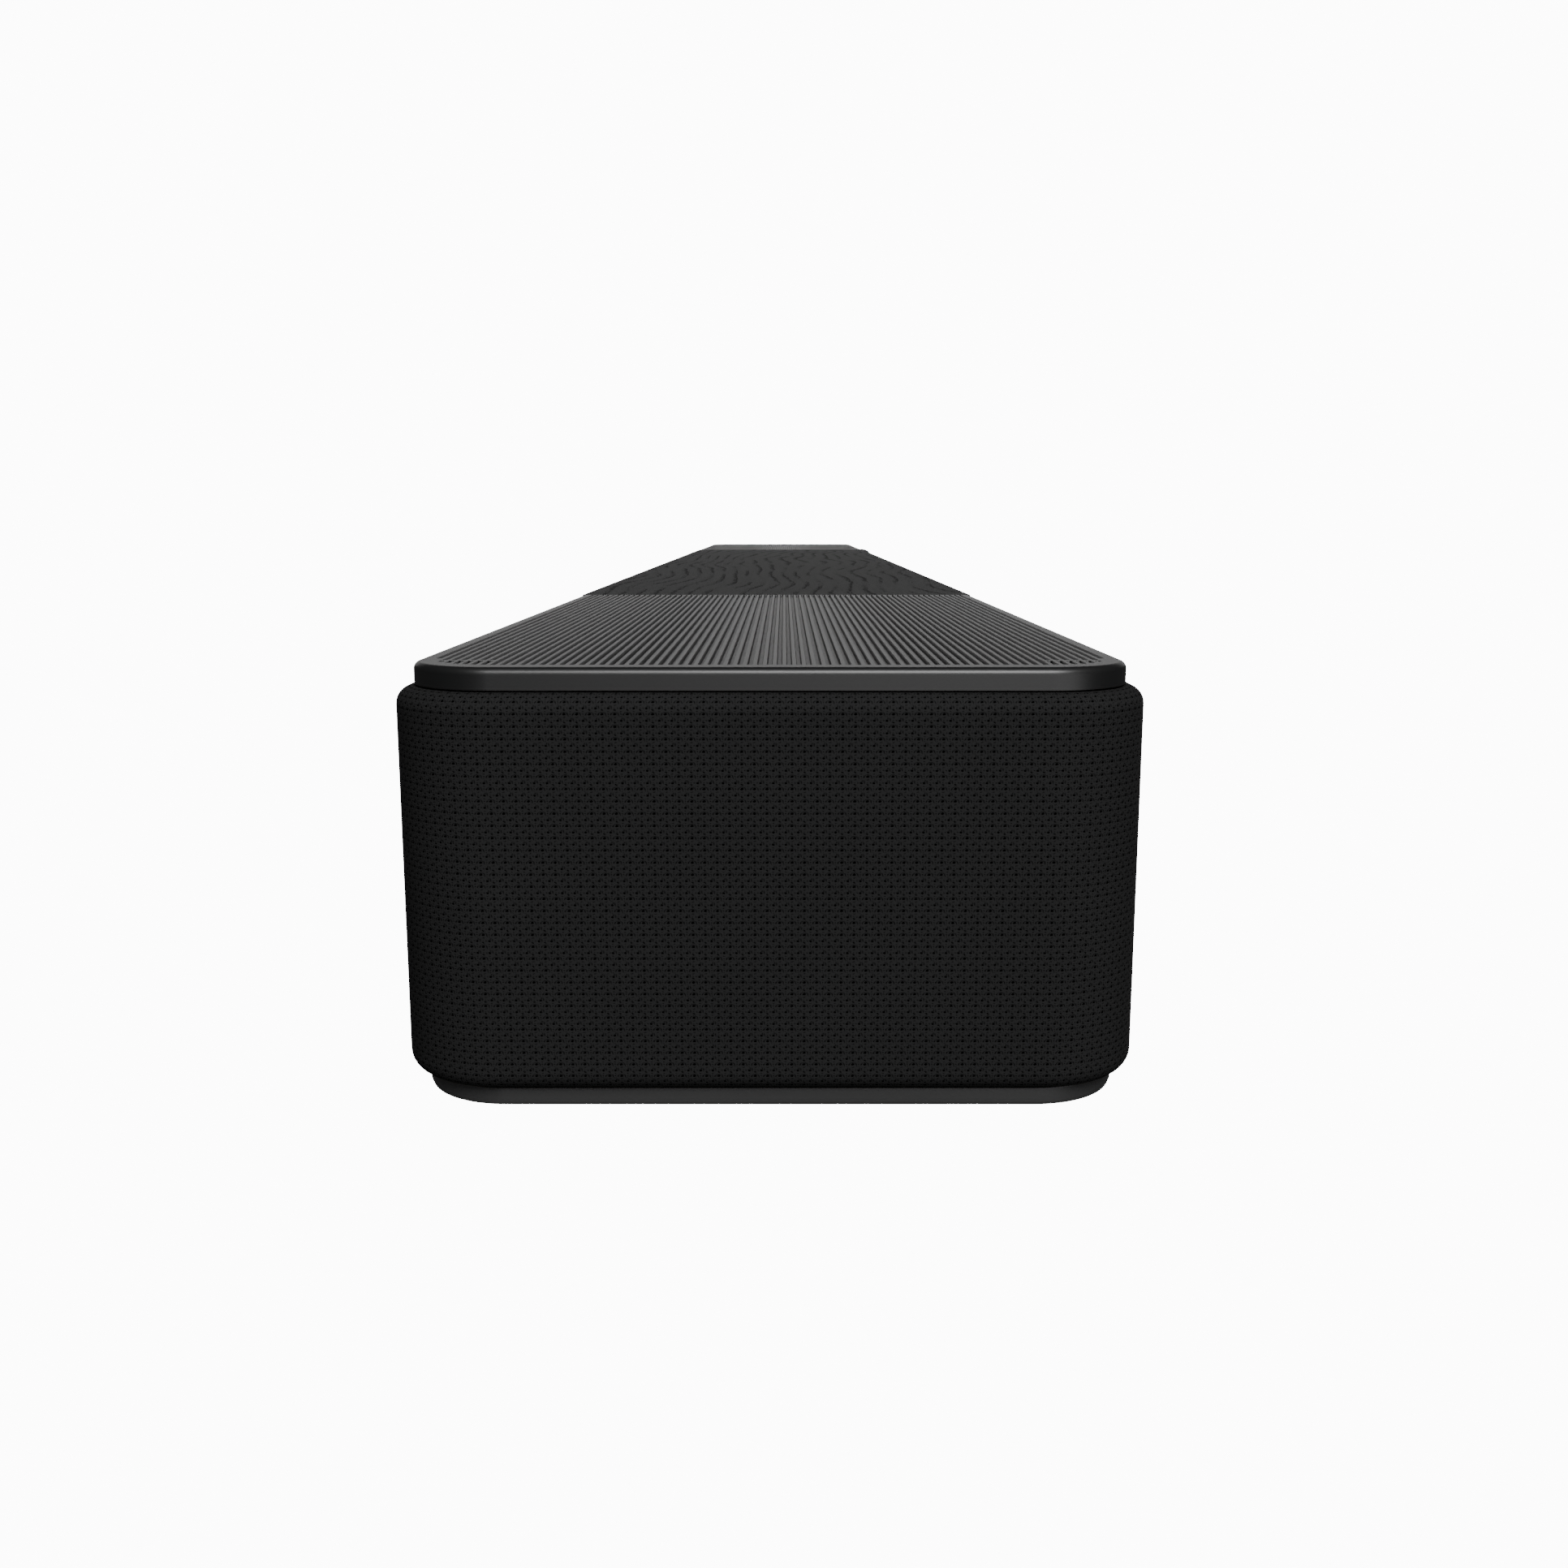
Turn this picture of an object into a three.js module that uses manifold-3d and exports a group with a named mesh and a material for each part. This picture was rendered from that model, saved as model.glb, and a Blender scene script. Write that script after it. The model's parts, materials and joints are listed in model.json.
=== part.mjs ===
// A soundbar 1.1 m long: speaker boxes and a centre housing wrapped in knitted fabric on a low plinth,
// slotted grille caps over the upward-firing drivers at both ends of its top, a wood panel between them
// and a small glossy tab with four push buttons at the front edge of the panel. Millimetres, +Z up,
// +X to the right as seen from the front, which faces -Y, and the origin on the floor below the
// middle of the whole bar.
import * as THREE from 'three';
import { mergeVertices } from 'three/addons/utils/BufferGeometryUtils.js';
import Module from 'manifold-3d';

// ---- Driving dimensions -------------------------------------------------------------------------
const LENGTH = 1118; // over the fabric at the two ends
const DEPTH = 126; // over the fabric, front to back
const HEIGHT = 78; // from the floor to the top of the trim
const GAP = 0.3; // clearance between neighbouring pieces
const CORNER = 17.5; // plan radius of the fabric's corners
const TRIM_CORNER = 14.8;
const PLINTH_CORNER = 15.5;
const SHOULDER = 3; // rounding of the fabric at its top and bottom edges
const TRIM_INSET = 3; // from the fabric's face in to the edge of the top trim and of the plinth
const TRIM_SIDE = 3.7; // height of the trim's edge
const TRIM_FILLET = 1.2;
const CAP_LENGTH = 229; // of each slotted cap, along the bar
const SLOT_PITCH = 1.612;
const SLOT_COUNT = 71;
const SLOT_WIDTH = 0.9;
const SLOT_BORDER = 4.2; // from the trim's end to the ends of the slots
const SLOT_CORNER = 11; // radius of the slotted field's outer corners
const GUARD_PITCH = 10; // of the slots in the floor under each woofer
const GUARD_SLOT = 5;
const FOOT_HEIGHT = 4;
const PLINTH_HEIGHT = 3.6; // from the feet up to the fabric
const PLINTH_CHAMFER = 1;
const TAB_LENGTH = 28.6;
const TAB_WIDTH = 7.7;
const TAB_PROUD = 0.9; // beyond the fabric's front face
const TAB_RISE = 0.4; // above the wood
const TAB_ROUND = 3.2;
const TAB_LOW = 62; // bottom of its front lip
const BUTTON = { length: 5.2, width: 3, pitch: 6.6, rise: 0.15 };
const WRAP_WALL = 1.2;
const CABINET_WALL = 2.6;
const BAFFLE_INSET = 8; // from the fabric's front face to the face of the front baffle
const REAR_PANEL_HALF = 503.5;
const BAY = { x0: -75, x1: 95, z0: 16, z1: 52, depth: 26, wall: 2 };

// Drivers: cone radius, flange radius, depth behind the flange, magnet radius, coil radius and travel.
const MID = { bore: 25.5, flange: 31.5, depth: 30, magnet: 20, coil: 8, travel: 2.5 };
const WOOFER = { bore: 41, flange: 50, depth: 46, magnet: 30, coil: 13, travel: 4 };
const TWEETER = { mouth: 22, flange: 26, throat: 9.6, horn: 13, magnet: 16, depth: 28 };
const MID_PLACES = [-370, -62, 62, 370];
const HEIGHT_PLACES = [-450, 450];
const HEIGHT_TILT = THREE.MathUtils.degToRad(15);
const WOOFER_PLACES = [-215, 215];
const FOOT_PLACES = [[-470, -40], [470, -40], [-470, 40], [470, 40]];
const INSERT_PLACES = [-380, 380]; // threaded inserts for a wall bracket
const INSERT = { outer: 5, inner: 2.1 };
const SPLITS = [-100, 120]; // where the centre housing meets the two speaker boxes
const ROUND = 14; // facets round a turned piece

// ---- Places worked out from them ----------------------------------------------------------------
const HALF_L = LENGTH / 2;
const HALF_D = DEPTH / 2;
const TRIM_L = HALF_L - TRIM_INSET;
const TRIM_D = HALF_D - TRIM_INSET;
const SEAM = TRIM_L - CAP_LENGTH;
const SKIRT_Z = HEIGHT - TRIM_SIDE;
const WRAP_TOP = SKIRT_Z - GAP;
const WRAP_BOTTOM = FOOT_HEIGHT + PLINTH_HEIGHT;
const PLINTH_TOP = WRAP_BOTTOM - GAP;
const LIP_INSET = TRIM_INSET + 0.5; // where the fabric's tucked edge ends
const FRAME_INSET = WRAP_WALL + GAP;
const CABINET_INSET = LIP_INSET + GAP;
const CABINET_BOTTOM = WRAP_BOTTOM + GAP;
const DECK_BOTTOM = WRAP_TOP - CABINET_WALL;
const BAFFLE_Y = BAFFLE_INSET - HALF_D;
const PLATE_BOTTOM = HEIGHT - 1; // underside of the slotted plate
const WOOD_BOTTOM = HEIGHT - 1.5;
const TAB_X1 = SEAM - GAP;
const TAB_X0 = TAB_X1 - TAB_LENGTH;
const TAB_Y0 = -HALF_D - TAB_PROUD;
const TAB_Y1 = TAB_Y0 + TAB_WIDTH;
const BUTTON_Y = TAB_Y0 + 5.1;
const MID_Z = (WRAP_TOP + WRAP_BOTTOM) / 2;
const REAR_Y = HALF_D - 0.2; // outer face of the rear panel
const REAR_INNER = HALF_D - LIP_INSET;
const BAY_FLOOR = HALF_D - BAY.depth;
const SOCKET_Z = (BAY.z0 + BAY.z1) / 2;
const BOARD_Y = BAY_FLOOR - 13;

// ---- Shapes and solids --------------------------------------------------------------------------
const wasm = await Module();
wasm.setup();

function solid(geometry) {
  const bare = geometry.clone();
  bare.deleteAttribute('normal');
  bare.deleteAttribute('uv');
  const merged = mergeVertices(bare, 1e-4);
  const vertProperties = Float32Array.from(merged.attributes.position.array);
  const triVerts = Uint32Array.from(merged.index.array);
  return new wasm.Manifold(new wasm.Mesh({ numProp: 3, vertProperties, triVerts }));
}

function geometryOf(shape) {
  const mesh = shape.getMesh();
  const geometry = new THREE.BufferGeometry();
  geometry.setAttribute('position', new THREE.BufferAttribute(mesh.vertProperties, 3));
  geometry.setIndex(new THREE.BufferAttribute(mesh.triVerts, 1));
  geometry.computeVertexNormals();
  return geometry;
}

function roundedRect(x0, x1, y0, y1, radius) {
  const shape = new THREE.Shape();
  shape.absarc(x1 - radius, y0 + radius, radius, -Math.PI / 2, 0);
  shape.absarc(x1 - radius, y1 - radius, radius, 0, Math.PI / 2);
  shape.absarc(x0 + radius, y1 - radius, radius, Math.PI / 2, Math.PI);
  shape.absarc(x0 + radius, y0 + radius, radius, Math.PI, Math.PI * 1.5);
  return shape;
}

// The bar's plan outline, moved in from the fabric's face by an inset.
function outline(inset, radius = CORNER - inset) {
  return roundedRect(inset - HALF_L, HALF_L - inset, inset - HALF_D, HALF_D - inset, radius);
}

// An outline raised from z0 to z1, with both rims rounded or chamfered where a rim size is given.
function slab(shape, z0, z1, rim = 0, steps = 2) {
  const bevel = { bevelEnabled: rim > 0, bevelThickness: rim, bevelSize: rim, bevelOffset: -rim };
  const depth = z1 - z0 - 2 * rim;
  const options = { ...bevel, depth, bevelSegments: steps, curveSegments: 4 };
  return solid(new THREE.ExtrudeGeometry(shape, options).translate(0, 0, z0 + rim));
}

// A profile drawn in the YZ plane and run along X.
function bar(points, x0, x1) {
  const shape = new THREE.Shape(points.map(([y, z]) => new THREE.Vector2(y, z)));
  const geometry = new THREE.ExtrudeGeometry(shape, { depth: x1 - x0, bevelEnabled: false });
  return solid(geometry.rotateY(Math.PI / 2).rotateX(Math.PI / 2).translate(x0, 0, 0));
}

function block(x0, x1, y0, y1, z0, z1) {
  const geometry = new THREE.BoxGeometry(x1 - x0, y1 - y0, z1 - z0);
  return solid(geometry.translate((x0 + x1) / 2, (y0 + y1) / 2, (z0 + z1) / 2));
}

// A round bar along Z, or along Y where alongY is set.
function rod(radius, from, to, u, v, alongY = false, facets = ROUND) {
  const geometry = new THREE.CylinderGeometry(radius, radius, to - from, facets);
  const middle = (from + to) / 2;
  if (alongY) return solid(geometry.translate(u, middle, v));
  return solid(geometry.rotateX(Math.PI / 2).translate(u, v, middle));
}

// A turned piece about Z from [radius, height] points, listed from the lower end of the axis upward.
function turned(points, facets = ROUND) {
  const profile = points.map(([radius, height]) => new THREE.Vector2(radius, height));
  return solid(new THREE.LatheGeometry(profile, facets).rotateX(Math.PI / 2));
}

function arc(cy, cz, radius, from, to, steps) {
  return Array.from({ length: steps + 1 }, (_, i) => {
    const angle = THREE.MathUtils.degToRad(from + ((to - from) * i) / steps);
    return [cy + radius * Math.cos(angle), cz + radius * Math.sin(angle)];
  });
}

// ---- Finishes -----------------------------------------------------------------------------------
const finish = (color, roughness, metalness = 0) => ({ color, roughness, metalness });
const FABRIC = finish(0x1f1f20, 0.95);
const SATIN = finish(0x33353a, 0.5);
const BLACK = finish(0x17181a, 0.6);
const GLOSS = finish(0x0a0a0b, 0.12);
const WOOD = finish(0x2a2522, 0.55);
const RUBBER = finish(0x141414, 0.9);
const CONE = finish(0x262626, 0.8);
const STEEL = finish(0xa9abad, 0.4, 1);
const MAGNET = finish(0x3b3b3d, 0.6, 0.6);
const BOARD = finish(0x1d5a34, 0.6);

const soundbar = new THREE.Group();
soundbar.name = 'soundbar';
soundbar.position.y = TAB_PROUD / 2; // the tab's overhang belongs to the whole bar's depth

function add(name, shape, look, parent = soundbar) {
  const mesh = new THREE.Mesh(geometryOf(shape), new THREE.MeshStandardMaterial(look));
  mesh.name = name;
  parent.add(mesh);
}

const sideName = (x) => (x < 0 ? 'left' : 'right');

// ---- Outside: fabric, frame, enclosures, plinth and feet ------------------------------------------
function fabricWrap() {
  const inside = slab(outline(WRAP_WALL), WRAP_BOTTOM + WRAP_WALL, WRAP_TOP - WRAP_WALL, SHOULDER - WRAP_WALL);
  const mouth = slab(outline(LIP_INSET), 0, HEIGHT);
  const rearGap = block(-REAR_PANEL_HALF - GAP, REAR_PANEL_HALF + GAP, 40, 80, 0, HEIGHT);
  const skin = slab(outline(0), WRAP_BOTTOM, WRAP_TOP, SHOULDER);
  return skin.subtract(inside).subtract(mouth).subtract(rearGap);
}

function grilleFrame() {
  const low = WRAP_BOTTOM + WRAP_WALL + GAP;
  const high = WRAP_TOP - WRAP_WALL - GAP;
  const core = slab(outline(LIP_INSET), 0, HEIGHT);
  const rearGap = block(-REAR_PANEL_HALF - GAP, REAR_PANEL_HALF + GAP, 0, 80, 0, HEIGHT);
  const shell = slab(outline(FRAME_INSET), low, high, SHOULDER - WRAP_WALL - GAP, 1);
  let frame = shell.subtract(core).subtract(rearGap);
  for (const x of MID_PLACES) frame = frame.subtract(rod(MID.bore, -80, -40, x, MID_Z, true));
  frame = frame.subtract(rod(TWEETER.mouth, -80, -40, 0, MID_Z, true));
  return frame.subtract(block(120, 182, -80, -40, MID_Z - 8, MID_Z + 8));
}

// The enclosure between two places along the bar, with a wall at each end of it.
function enclosure(x0, x1) {
  const inset = CABINET_INSET;
  const [x, y] = [HALF_L - inset, HALF_D - inset];
  const wall = CABINET_WALL;
  const outer = roundedRect(-x, x, BAFFLE_Y, y, CORNER - inset);
  const inner = roundedRect(wall - x, x - wall, BAFFLE_Y + wall, y - wall, CORNER - inset - wall);
  const span = block(x0, x1, -80, 80, -1, 90);
  const room = slab(inner, 0, DECK_BOTTOM).intersect(block(x0 + wall, x1 - wall, -80, 80, -1, 90));
  let box = slab(outer, CABINET_BOTTOM, WRAP_TOP).intersect(span).subtract(room);
  const inSpan = (place) => place > x0 && place < x1;
  for (const place of MID_PLACES.filter(inSpan)) {
    box = box.subtract(rod(MID.bore + 1.3, -80, -40, place, MID_Z, true));
  }
  for (const place of HEIGHT_PLACES.filter(inSpan)) {
    box = box.subtract(block(place - 33, place + 33, -37, 37, DECK_BOTTOM - 1, HEIGHT));
  }
  return box;
}

function centreHousing() {
  const housing = enclosure(SPLITS[0] + GAP / 2, SPLITS[1] - GAP / 2);
  const bay = block(BAY.x0 - 3, BAY.x1 + 3, 40, 80, BAY.z0 - 3, BAY.z1 + 3);
  return housing.subtract(rod(TWEETER.mouth + 1, -80, -40, 0, MID_Z, true)).subtract(bay);
}

function baseTray() {
  const skin = FOOT_HEIGHT + 1.6;
  const lower = PLINTH_CHAMFER;
  const bottom = slab(outline(TRIM_INSET, PLINTH_CORNER), FOOT_HEIGHT, PLINTH_TOP + lower, lower, 1);
  let pocket = slab(outline(TRIM_INSET + 3), skin, HEIGHT);
  for (const x of WOOFER_PLACES) {
    const ring = rod(WOOFER.flange + 1, skin - 1, HEIGHT, x, 2).subtract(rod(WOOFER.bore, 0, HEIGHT + 1, x, 2));
    pocket = pocket.subtract(ring);
  }
  let tray = bottom.subtract(block(-HALF_L, HALF_L, -80, 80, PLINTH_TOP, HEIGHT)).subtract(pocket);
  const reach = WOOFER.bore - 4;
  for (const x of WOOFER_PLACES) {
    for (let row = -3; row <= 3; row += 1) {
      const half = Math.sqrt(reach ** 2 - (row * GUARD_PITCH) ** 2);
      const y = 2 + row * GUARD_PITCH;
      tray = tray.subtract(block(x - half, x + half, y - GUARD_SLOT / 2, y + GUARD_SLOT / 2, 0, skin + 0.5));
    }
  }
  return tray;
}

function foot([x, y]) {
  return slab(roundedRect(x - 24, x + 24, y - 7, y + 7, 6.5), 0, FOOT_HEIGHT - GAP);
}

add('fabric_wrap', fabricWrap(), FABRIC);
add('grille_frame', grilleFrame(), BLACK);
add('speaker_box_left', enclosure(-HALF_L, SPLITS[0] - GAP / 2), BLACK);
add('centre_housing', centreHousing(), BLACK);
add('speaker_box_right', enclosure(SPLITS[1] + GAP / 2, HALF_L), BLACK);
add('base_tray', baseTray(), SATIN);
FOOT_PLACES.forEach((place, i) => add(`foot_${i + 1}`, foot(place), RUBBER));

// ---- Top: slotted caps, screens, wood panel and its carrier ---------------------------------------
function trimBlank() {
  const whole = slab(outline(TRIM_INSET, TRIM_CORNER), SKIRT_Z - TRIM_FILLET - 1, HEIGHT, TRIM_FILLET);
  return whole.subtract(block(-HALF_L, HALF_L, -80, 80, 0, SKIRT_Z));
}

// A slotted cap for the right end. The slots stop along a field with rounded outer corners.
function topGrille() {
  const start = SEAM + GAP / 2;
  let cap = trimBlank().subtract(block(-HALF_L - 1, start, -80, 80, 0, 90));
  const hollow = slab(outline(TRIM_INSET + 1.6), 0, PLATE_BOTTOM);
  cap = cap.subtract(hollow.subtract(block(-HALF_L, start + 0.5, -80, 80, -1, 90)));
  const fieldEnd = TRIM_L - SLOT_BORDER;
  const fieldSide = (SLOT_PITCH * (SLOT_COUNT - 1)) / 2;
  for (let i = 0; i < SLOT_COUNT; i += 1) {
    const y = i * SLOT_PITCH - fieldSide;
    const past = Math.max(0, Math.abs(y) - (fieldSide - SLOT_CORNER));
    const end = fieldEnd - SLOT_CORNER + Math.sqrt(SLOT_CORNER ** 2 - past ** 2);
    cap = cap.subtract(block(start + 0.7, end, y - SLOT_WIDTH / 2, y + SLOT_WIDTH / 2, PLATE_BOTTOM - 1, 90));
  }
  return cap;
}

function grilleScreen() {
  const sheet = slab(outline(TRIM_INSET + 2), PLATE_BOTTOM - 0.8, PLATE_BOTTOM - GAP);
  return sheet.subtract(block(-HALF_L - 1, SEAM + 2.1, -80, 80, 0, 90));
}

function tabNotch(z0, z1, clear) {
  return block(TAB_X0 - clear, SEAM + 1, -80, TAB_Y1 + clear, z0, z1);
}

function woodPanel() {
  const [x, y] = [SEAM - 0.4, TRIM_D - 0.7];
  return block(-x, x, -y, y, WOOD_BOTTOM, HEIGHT).subtract(tabNotch(0, 90, GAP));
}

function panelCarrier() {
  const x = SEAM - GAP / 2;
  const y = TRIM_D;
  const floor = WOOD_BOTTOM - GAP;
  const seat = block(-x - 1, x + 1, 0.4 - y, y - 0.4, floor, 90);
  const under = block(3 - x, x - 3, 1.6 - y, y - 1.6, 0, floor - 1.2);
  let carrier = block(-x, x, -y, y, SKIRT_Z, HEIGHT).subtract(seat).subtract(under);
  carrier = carrier.subtract(tabNotch(floor, 90, GAP));
  return carrier.subtract(block(TAB_X0 + 1, TAB_X1 - 1, -80, TAB_Y1 - 0.5, 0, 90));
}

const grille = geometryOf(topGrille());
const screen = geometryOf(grilleScreen());
for (const side of ['left', 'right']) {
  const turn = side === 'left' ? Math.PI : 0;
  for (const [name, piece, look] of [['top_grille', grille, SATIN], ['grille_screen', screen, FABRIC]]) {
    const mesh = new THREE.Mesh(piece.clone(), new THREE.MeshStandardMaterial(look));
    mesh.name = `${name}_${side}`;
    mesh.rotation.z = turn;
    soundbar.add(mesh);
  }
}
add('top_wood_panel', woodPanel(), WOOD);
add('top_panel_carrier', panelCarrier(), BLACK);

// ---- Control tab and its buttons ------------------------------------------------------------------
const BUTTONS = ['power', 'source', 'volume_down', 'volume_up'];
const buttonX = (i) => (TAB_X0 + TAB_X1) / 2 + (i - (BUTTONS.length - 1) / 2) * BUTTON.pitch;

function controlTab() {
  const top = HEIGHT + TAB_RISE;
  const under = WOOD_BOTTOM;
  const lip = -HALF_D - GAP;
  const corner = arc(TAB_Y0 + TAB_ROUND, top - TAB_ROUND, TAB_ROUND, 90, 180, 4);
  const profile = [[TAB_Y1, under], [TAB_Y1, top], ...corner, [TAB_Y0, TAB_LOW], [lip, TAB_LOW], [lip, under]];
  let tab = bar(profile, TAB_X0, TAB_X1);
  BUTTONS.forEach((_, i) => {
    const [x, half, deep] = [buttonX(i), BUTTON.length / 2 + GAP, BUTTON.width / 2 + GAP];
    tab = tab.subtract(block(x - half, x + half, BUTTON_Y - deep, BUTTON_Y + deep, 70, 90));
  });
  return tab;
}

function button(i) {
  const [x, y] = [buttonX(i), BUTTON_Y];
  const [half, deep] = [BUTTON.length / 2, BUTTON.width / 2];
  const top = HEIGHT + TAB_RISE + BUTTON.rise;
  return slab(roundedRect(x - half, x + half, y - deep, y + deep, 1), SKIRT_Z + 1.5, top);
}

add('control_tab', controlTab(), GLOSS);
BUTTONS.forEach((name, i) => add(`button_${name}`, button(i), GLOSS));
const buttonBoard = block(TAB_X0 + 1.5, TAB_X1 - 1.5, 0.5 - HALF_D, TAB_Y1 - 0.9, SKIRT_Z + 0.2, SKIRT_Z + 1);
add('button_board', buttonBoard, BOARD);

// ---- Rear: two panels, wall inserts, the socket bay and its sockets --------------------------------
const REAR_SPLITS = [BAY.x0 - 8, BAY.x1 + 8]; // where the socket bay's own face meets the two panels

// A length of the back's face, with the fabric's rounding at its upper and lower edges.
function rearFace(x0, x1) {
  const [low, high] = [CABINET_BOTTOM, WRAP_TOP - GAP];
  const foot = arc(REAR_Y - SHOULDER, low + SHOULDER, SHOULDER, -90, 0, 3);
  const head = arc(REAR_Y - SHOULDER, high - SHOULDER, SHOULDER, 0, 90, 3);
  return bar([[REAR_INNER, low], ...foot, ...head, [REAR_INNER, high]], x0, x1);
}

function rearPanel(x0, x1) {
  let panel = rearFace(x0, x1);
  for (const place of INSERT_PLACES.filter((x) => x > x0 && x < x1)) {
    panel = panel.subtract(rod(INSERT.outer + GAP, 40, 80, place, MID_Z, true));
  }
  return panel;
}

// The bay's face and the tub behind it, with a window in the tub's floor for each socket.
function socketBay() {
  const w = BAY.wall;
  let bay = block(BAY.x0 - w, BAY.x1 + w, BAY_FLOOR - w, REAR_INNER + 1, BAY.z0 - w, BAY.z1 + w);
  bay = bay.add(rearFace(REAR_SPLITS[0] + GAP / 2, REAR_SPLITS[1] - GAP / 2));
  bay = bay.subtract(block(BAY.x0, BAY.x1, BAY_FLOOR, 80, BAY.z0, BAY.z1));
  for (const { x, w: wide, h } of SOCKETS) {
    const [a, b] = [wide / 2 + GAP, h / 2 + GAP];
    bay = bay.subtract(block(x - a, x + a, 0, BAY_FLOOR + 1, SOCKET_Z - b, SOCKET_Z + b));
  }
  return bay;
}

function wallInsert(x) {
  const ring = rod(INSERT.outer, REAR_INNER, REAR_Y, x, MID_Z, true);
  return ring.subtract(rod(INSERT.inner, REAR_INNER - 1, 80, x, MID_Z, true));
}

const SOCKETS = [
  { name: 'power_inlet', x: -52, w: 21, h: 11.5, look: BLACK, make: powerInlet },
  { name: 'sub_out_jack', x: -18, w: 12.4, h: 12.4, look: BLACK, make: subOutJack },
  { name: 'usb_socket', x: 8, w: 14.5, h: 7.2, look: STEEL, make: (s) => tongued(s, 1.8, 1) },
  { name: 'optical_socket', x: 36, w: 12, h: 11, look: BLACK, make: opticalSocket },
  { name: 'hdmi_socket', x: 68, w: 15.2, h: 6.2, look: STEEL, make: (s) => tongued(s, 1.2, 0) },
];
const SOCKET_FACE = BAY_FLOOR + 1.5;

function socketBody({ x, w, h }) {
  return block(x - w / 2, x + w / 2, BOARD_Y + 1.9, SOCKET_FACE, SOCKET_Z - h / 2, SOCKET_Z + h / 2);
}

// A shell with a contact tongue inside, as a USB or HDMI socket has.
function tongued(socket, thick, rise) {
  const { x, w, h } = socket;
  const back = BOARD_Y + 4;
  const [across, tall] = [w / 2 - 0.8, h / 2 - 0.8];
  const mouth = block(x - across, x + across, back, 80, SOCKET_Z - tall, SOCKET_Z + tall);
  const half = w / 2 - 2.4;
  const z = SOCKET_Z + rise;
  const tongue = block(x - half, x + half, back - 1, SOCKET_FACE - 1.5, z - thick / 2, z + thick / 2);
  return socketBody(socket).subtract(mouth).add(tongue);
}

function opticalSocket(socket) {
  const mouth = block(socket.x - 4, socket.x + 4, BOARD_Y + 5, 80, SOCKET_Z - 4, SOCKET_Z + 4);
  return socketBody(socket).subtract(mouth);
}

function subOutJack(socket) {
  const sleeve = rod(4.2, BAY_FLOOR, BAY_FLOOR + 9, socket.x, SOCKET_Z, true, 16);
  return socketBody(socket).add(sleeve).subtract(rod(1.7, BAY_FLOOR, 80, socket.x, SOCKET_Z, true, 12));
}

function powerInlet(socket) {
  const { x } = socket;
  const mouth = block(x - 8, x + 8, BOARD_Y + 4, 80, SOCKET_Z - 3.9, SOCKET_Z + 3.9);
  let inlet = socketBody(socket).subtract(mouth);
  for (const pin of [x - 4.3, x + 4.3]) {
    inlet = inlet.add(rod(1.2, BOARD_Y + 3, SOCKET_FACE - 2, pin, SOCKET_Z, true, 8));
  }
  return inlet;
}

add('rear_panel_left', rearPanel(-REAR_PANEL_HALF, REAR_SPLITS[0] - GAP / 2), BLACK);
add('rear_panel_right', rearPanel(REAR_SPLITS[1] + GAP / 2, REAR_PANEL_HALF), BLACK);
add('socket_bay', socketBay(), BLACK);
for (const x of INSERT_PLACES) add(`wall_insert_${sideName(x)}`, wallInsert(x), STEEL);
for (const socket of SOCKETS) add(socket.name, socket.make(socket), socket.look);

// ---- Drivers ----------------------------------------------------------------------------------------
// Each is drawn about Z, firing towards +Z, with the back of its flange at zero.
function driverFrame({ bore, flange, depth, magnet, coil, travel }) {
  const back = -depth;
  const seat = back + depth * 0.4; // top of the magnet
  const straight = -3 - travel; // the bore stays straight over the cone's travel
  const slotDeep = back + 3;
  const frame = turned([
    [0, back], [magnet, back], [magnet, seat], [bore + 1, straight], [bore + 1, 0], [flange, 0], [flange, 2],
    [bore, 2], [bore, straight], [magnet - 3, seat + 1.5], [coil + 0.8, seat + 1.5], [coil + 0.8, slotDeep],
    [coil - 1.2, slotDeep], [coil - 1.2, seat + 1.5], [0, seat + 1.5],
  ]);
  const [half, low, high] = [bore * 0.3, seat + 3, straight - 1];
  const windows = block(-80, 80, -half, half, low, high).add(block(-half, half, -80, 80, low, high));
  return frame.subtract(windows);
}

function driverCone({ bore, depth, coil, travel }) {
  const seat = -depth * 0.6;
  const rim = bore - 0.5;
  const neck = seat + 1.5 + travel + 1; // stays off the magnet at full travel
  return turned([
    [0, neck + 3], [coil - 0.8, neck + 1], [coil - 0.8, seat - travel - 1], [coil + 0.3, seat - travel - 1],
    [coil + 0.3, neck - 0.4], [rim - 3, -3.2], [rim, -1.7], [rim, -0.9], [rim - 3, -1.6],
    [coil + 1.5, neck + 1.4], [0, neck + 4.6],
  ]);
}

function driver(name, index, size, place) {
  const seat = new THREE.Group();
  place(seat);
  soundbar.add(seat);
  add(`${name}_frame_${index}`, driverFrame(size), MAGNET, seat);
  add(`${name}_cone_${index}`, driverCone(size), CONE, seat);
}

MID_PLACES.forEach((x, i) => driver('front_driver', i + 1, MID, (seat) => {
  seat.rotation.x = Math.PI / 2;
  seat.position.set(x, BAFFLE_Y - GAP, MID_Z);
}));

WOOFER_PLACES.forEach((x) => driver('woofer', sideName(x), WOOFER, (seat) => {
  seat.rotation.x = Math.PI;
  seat.position.set(x, 2, PLINTH_TOP + GAP + 2);
}));

// A tilted seat for each upward-firing driver: a box with a sloping baffle across it.
const POD = { x: 36, y: 40, wall: 2.5, low: 46 };
const POD_BAFFLE_Z = 59;

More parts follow.
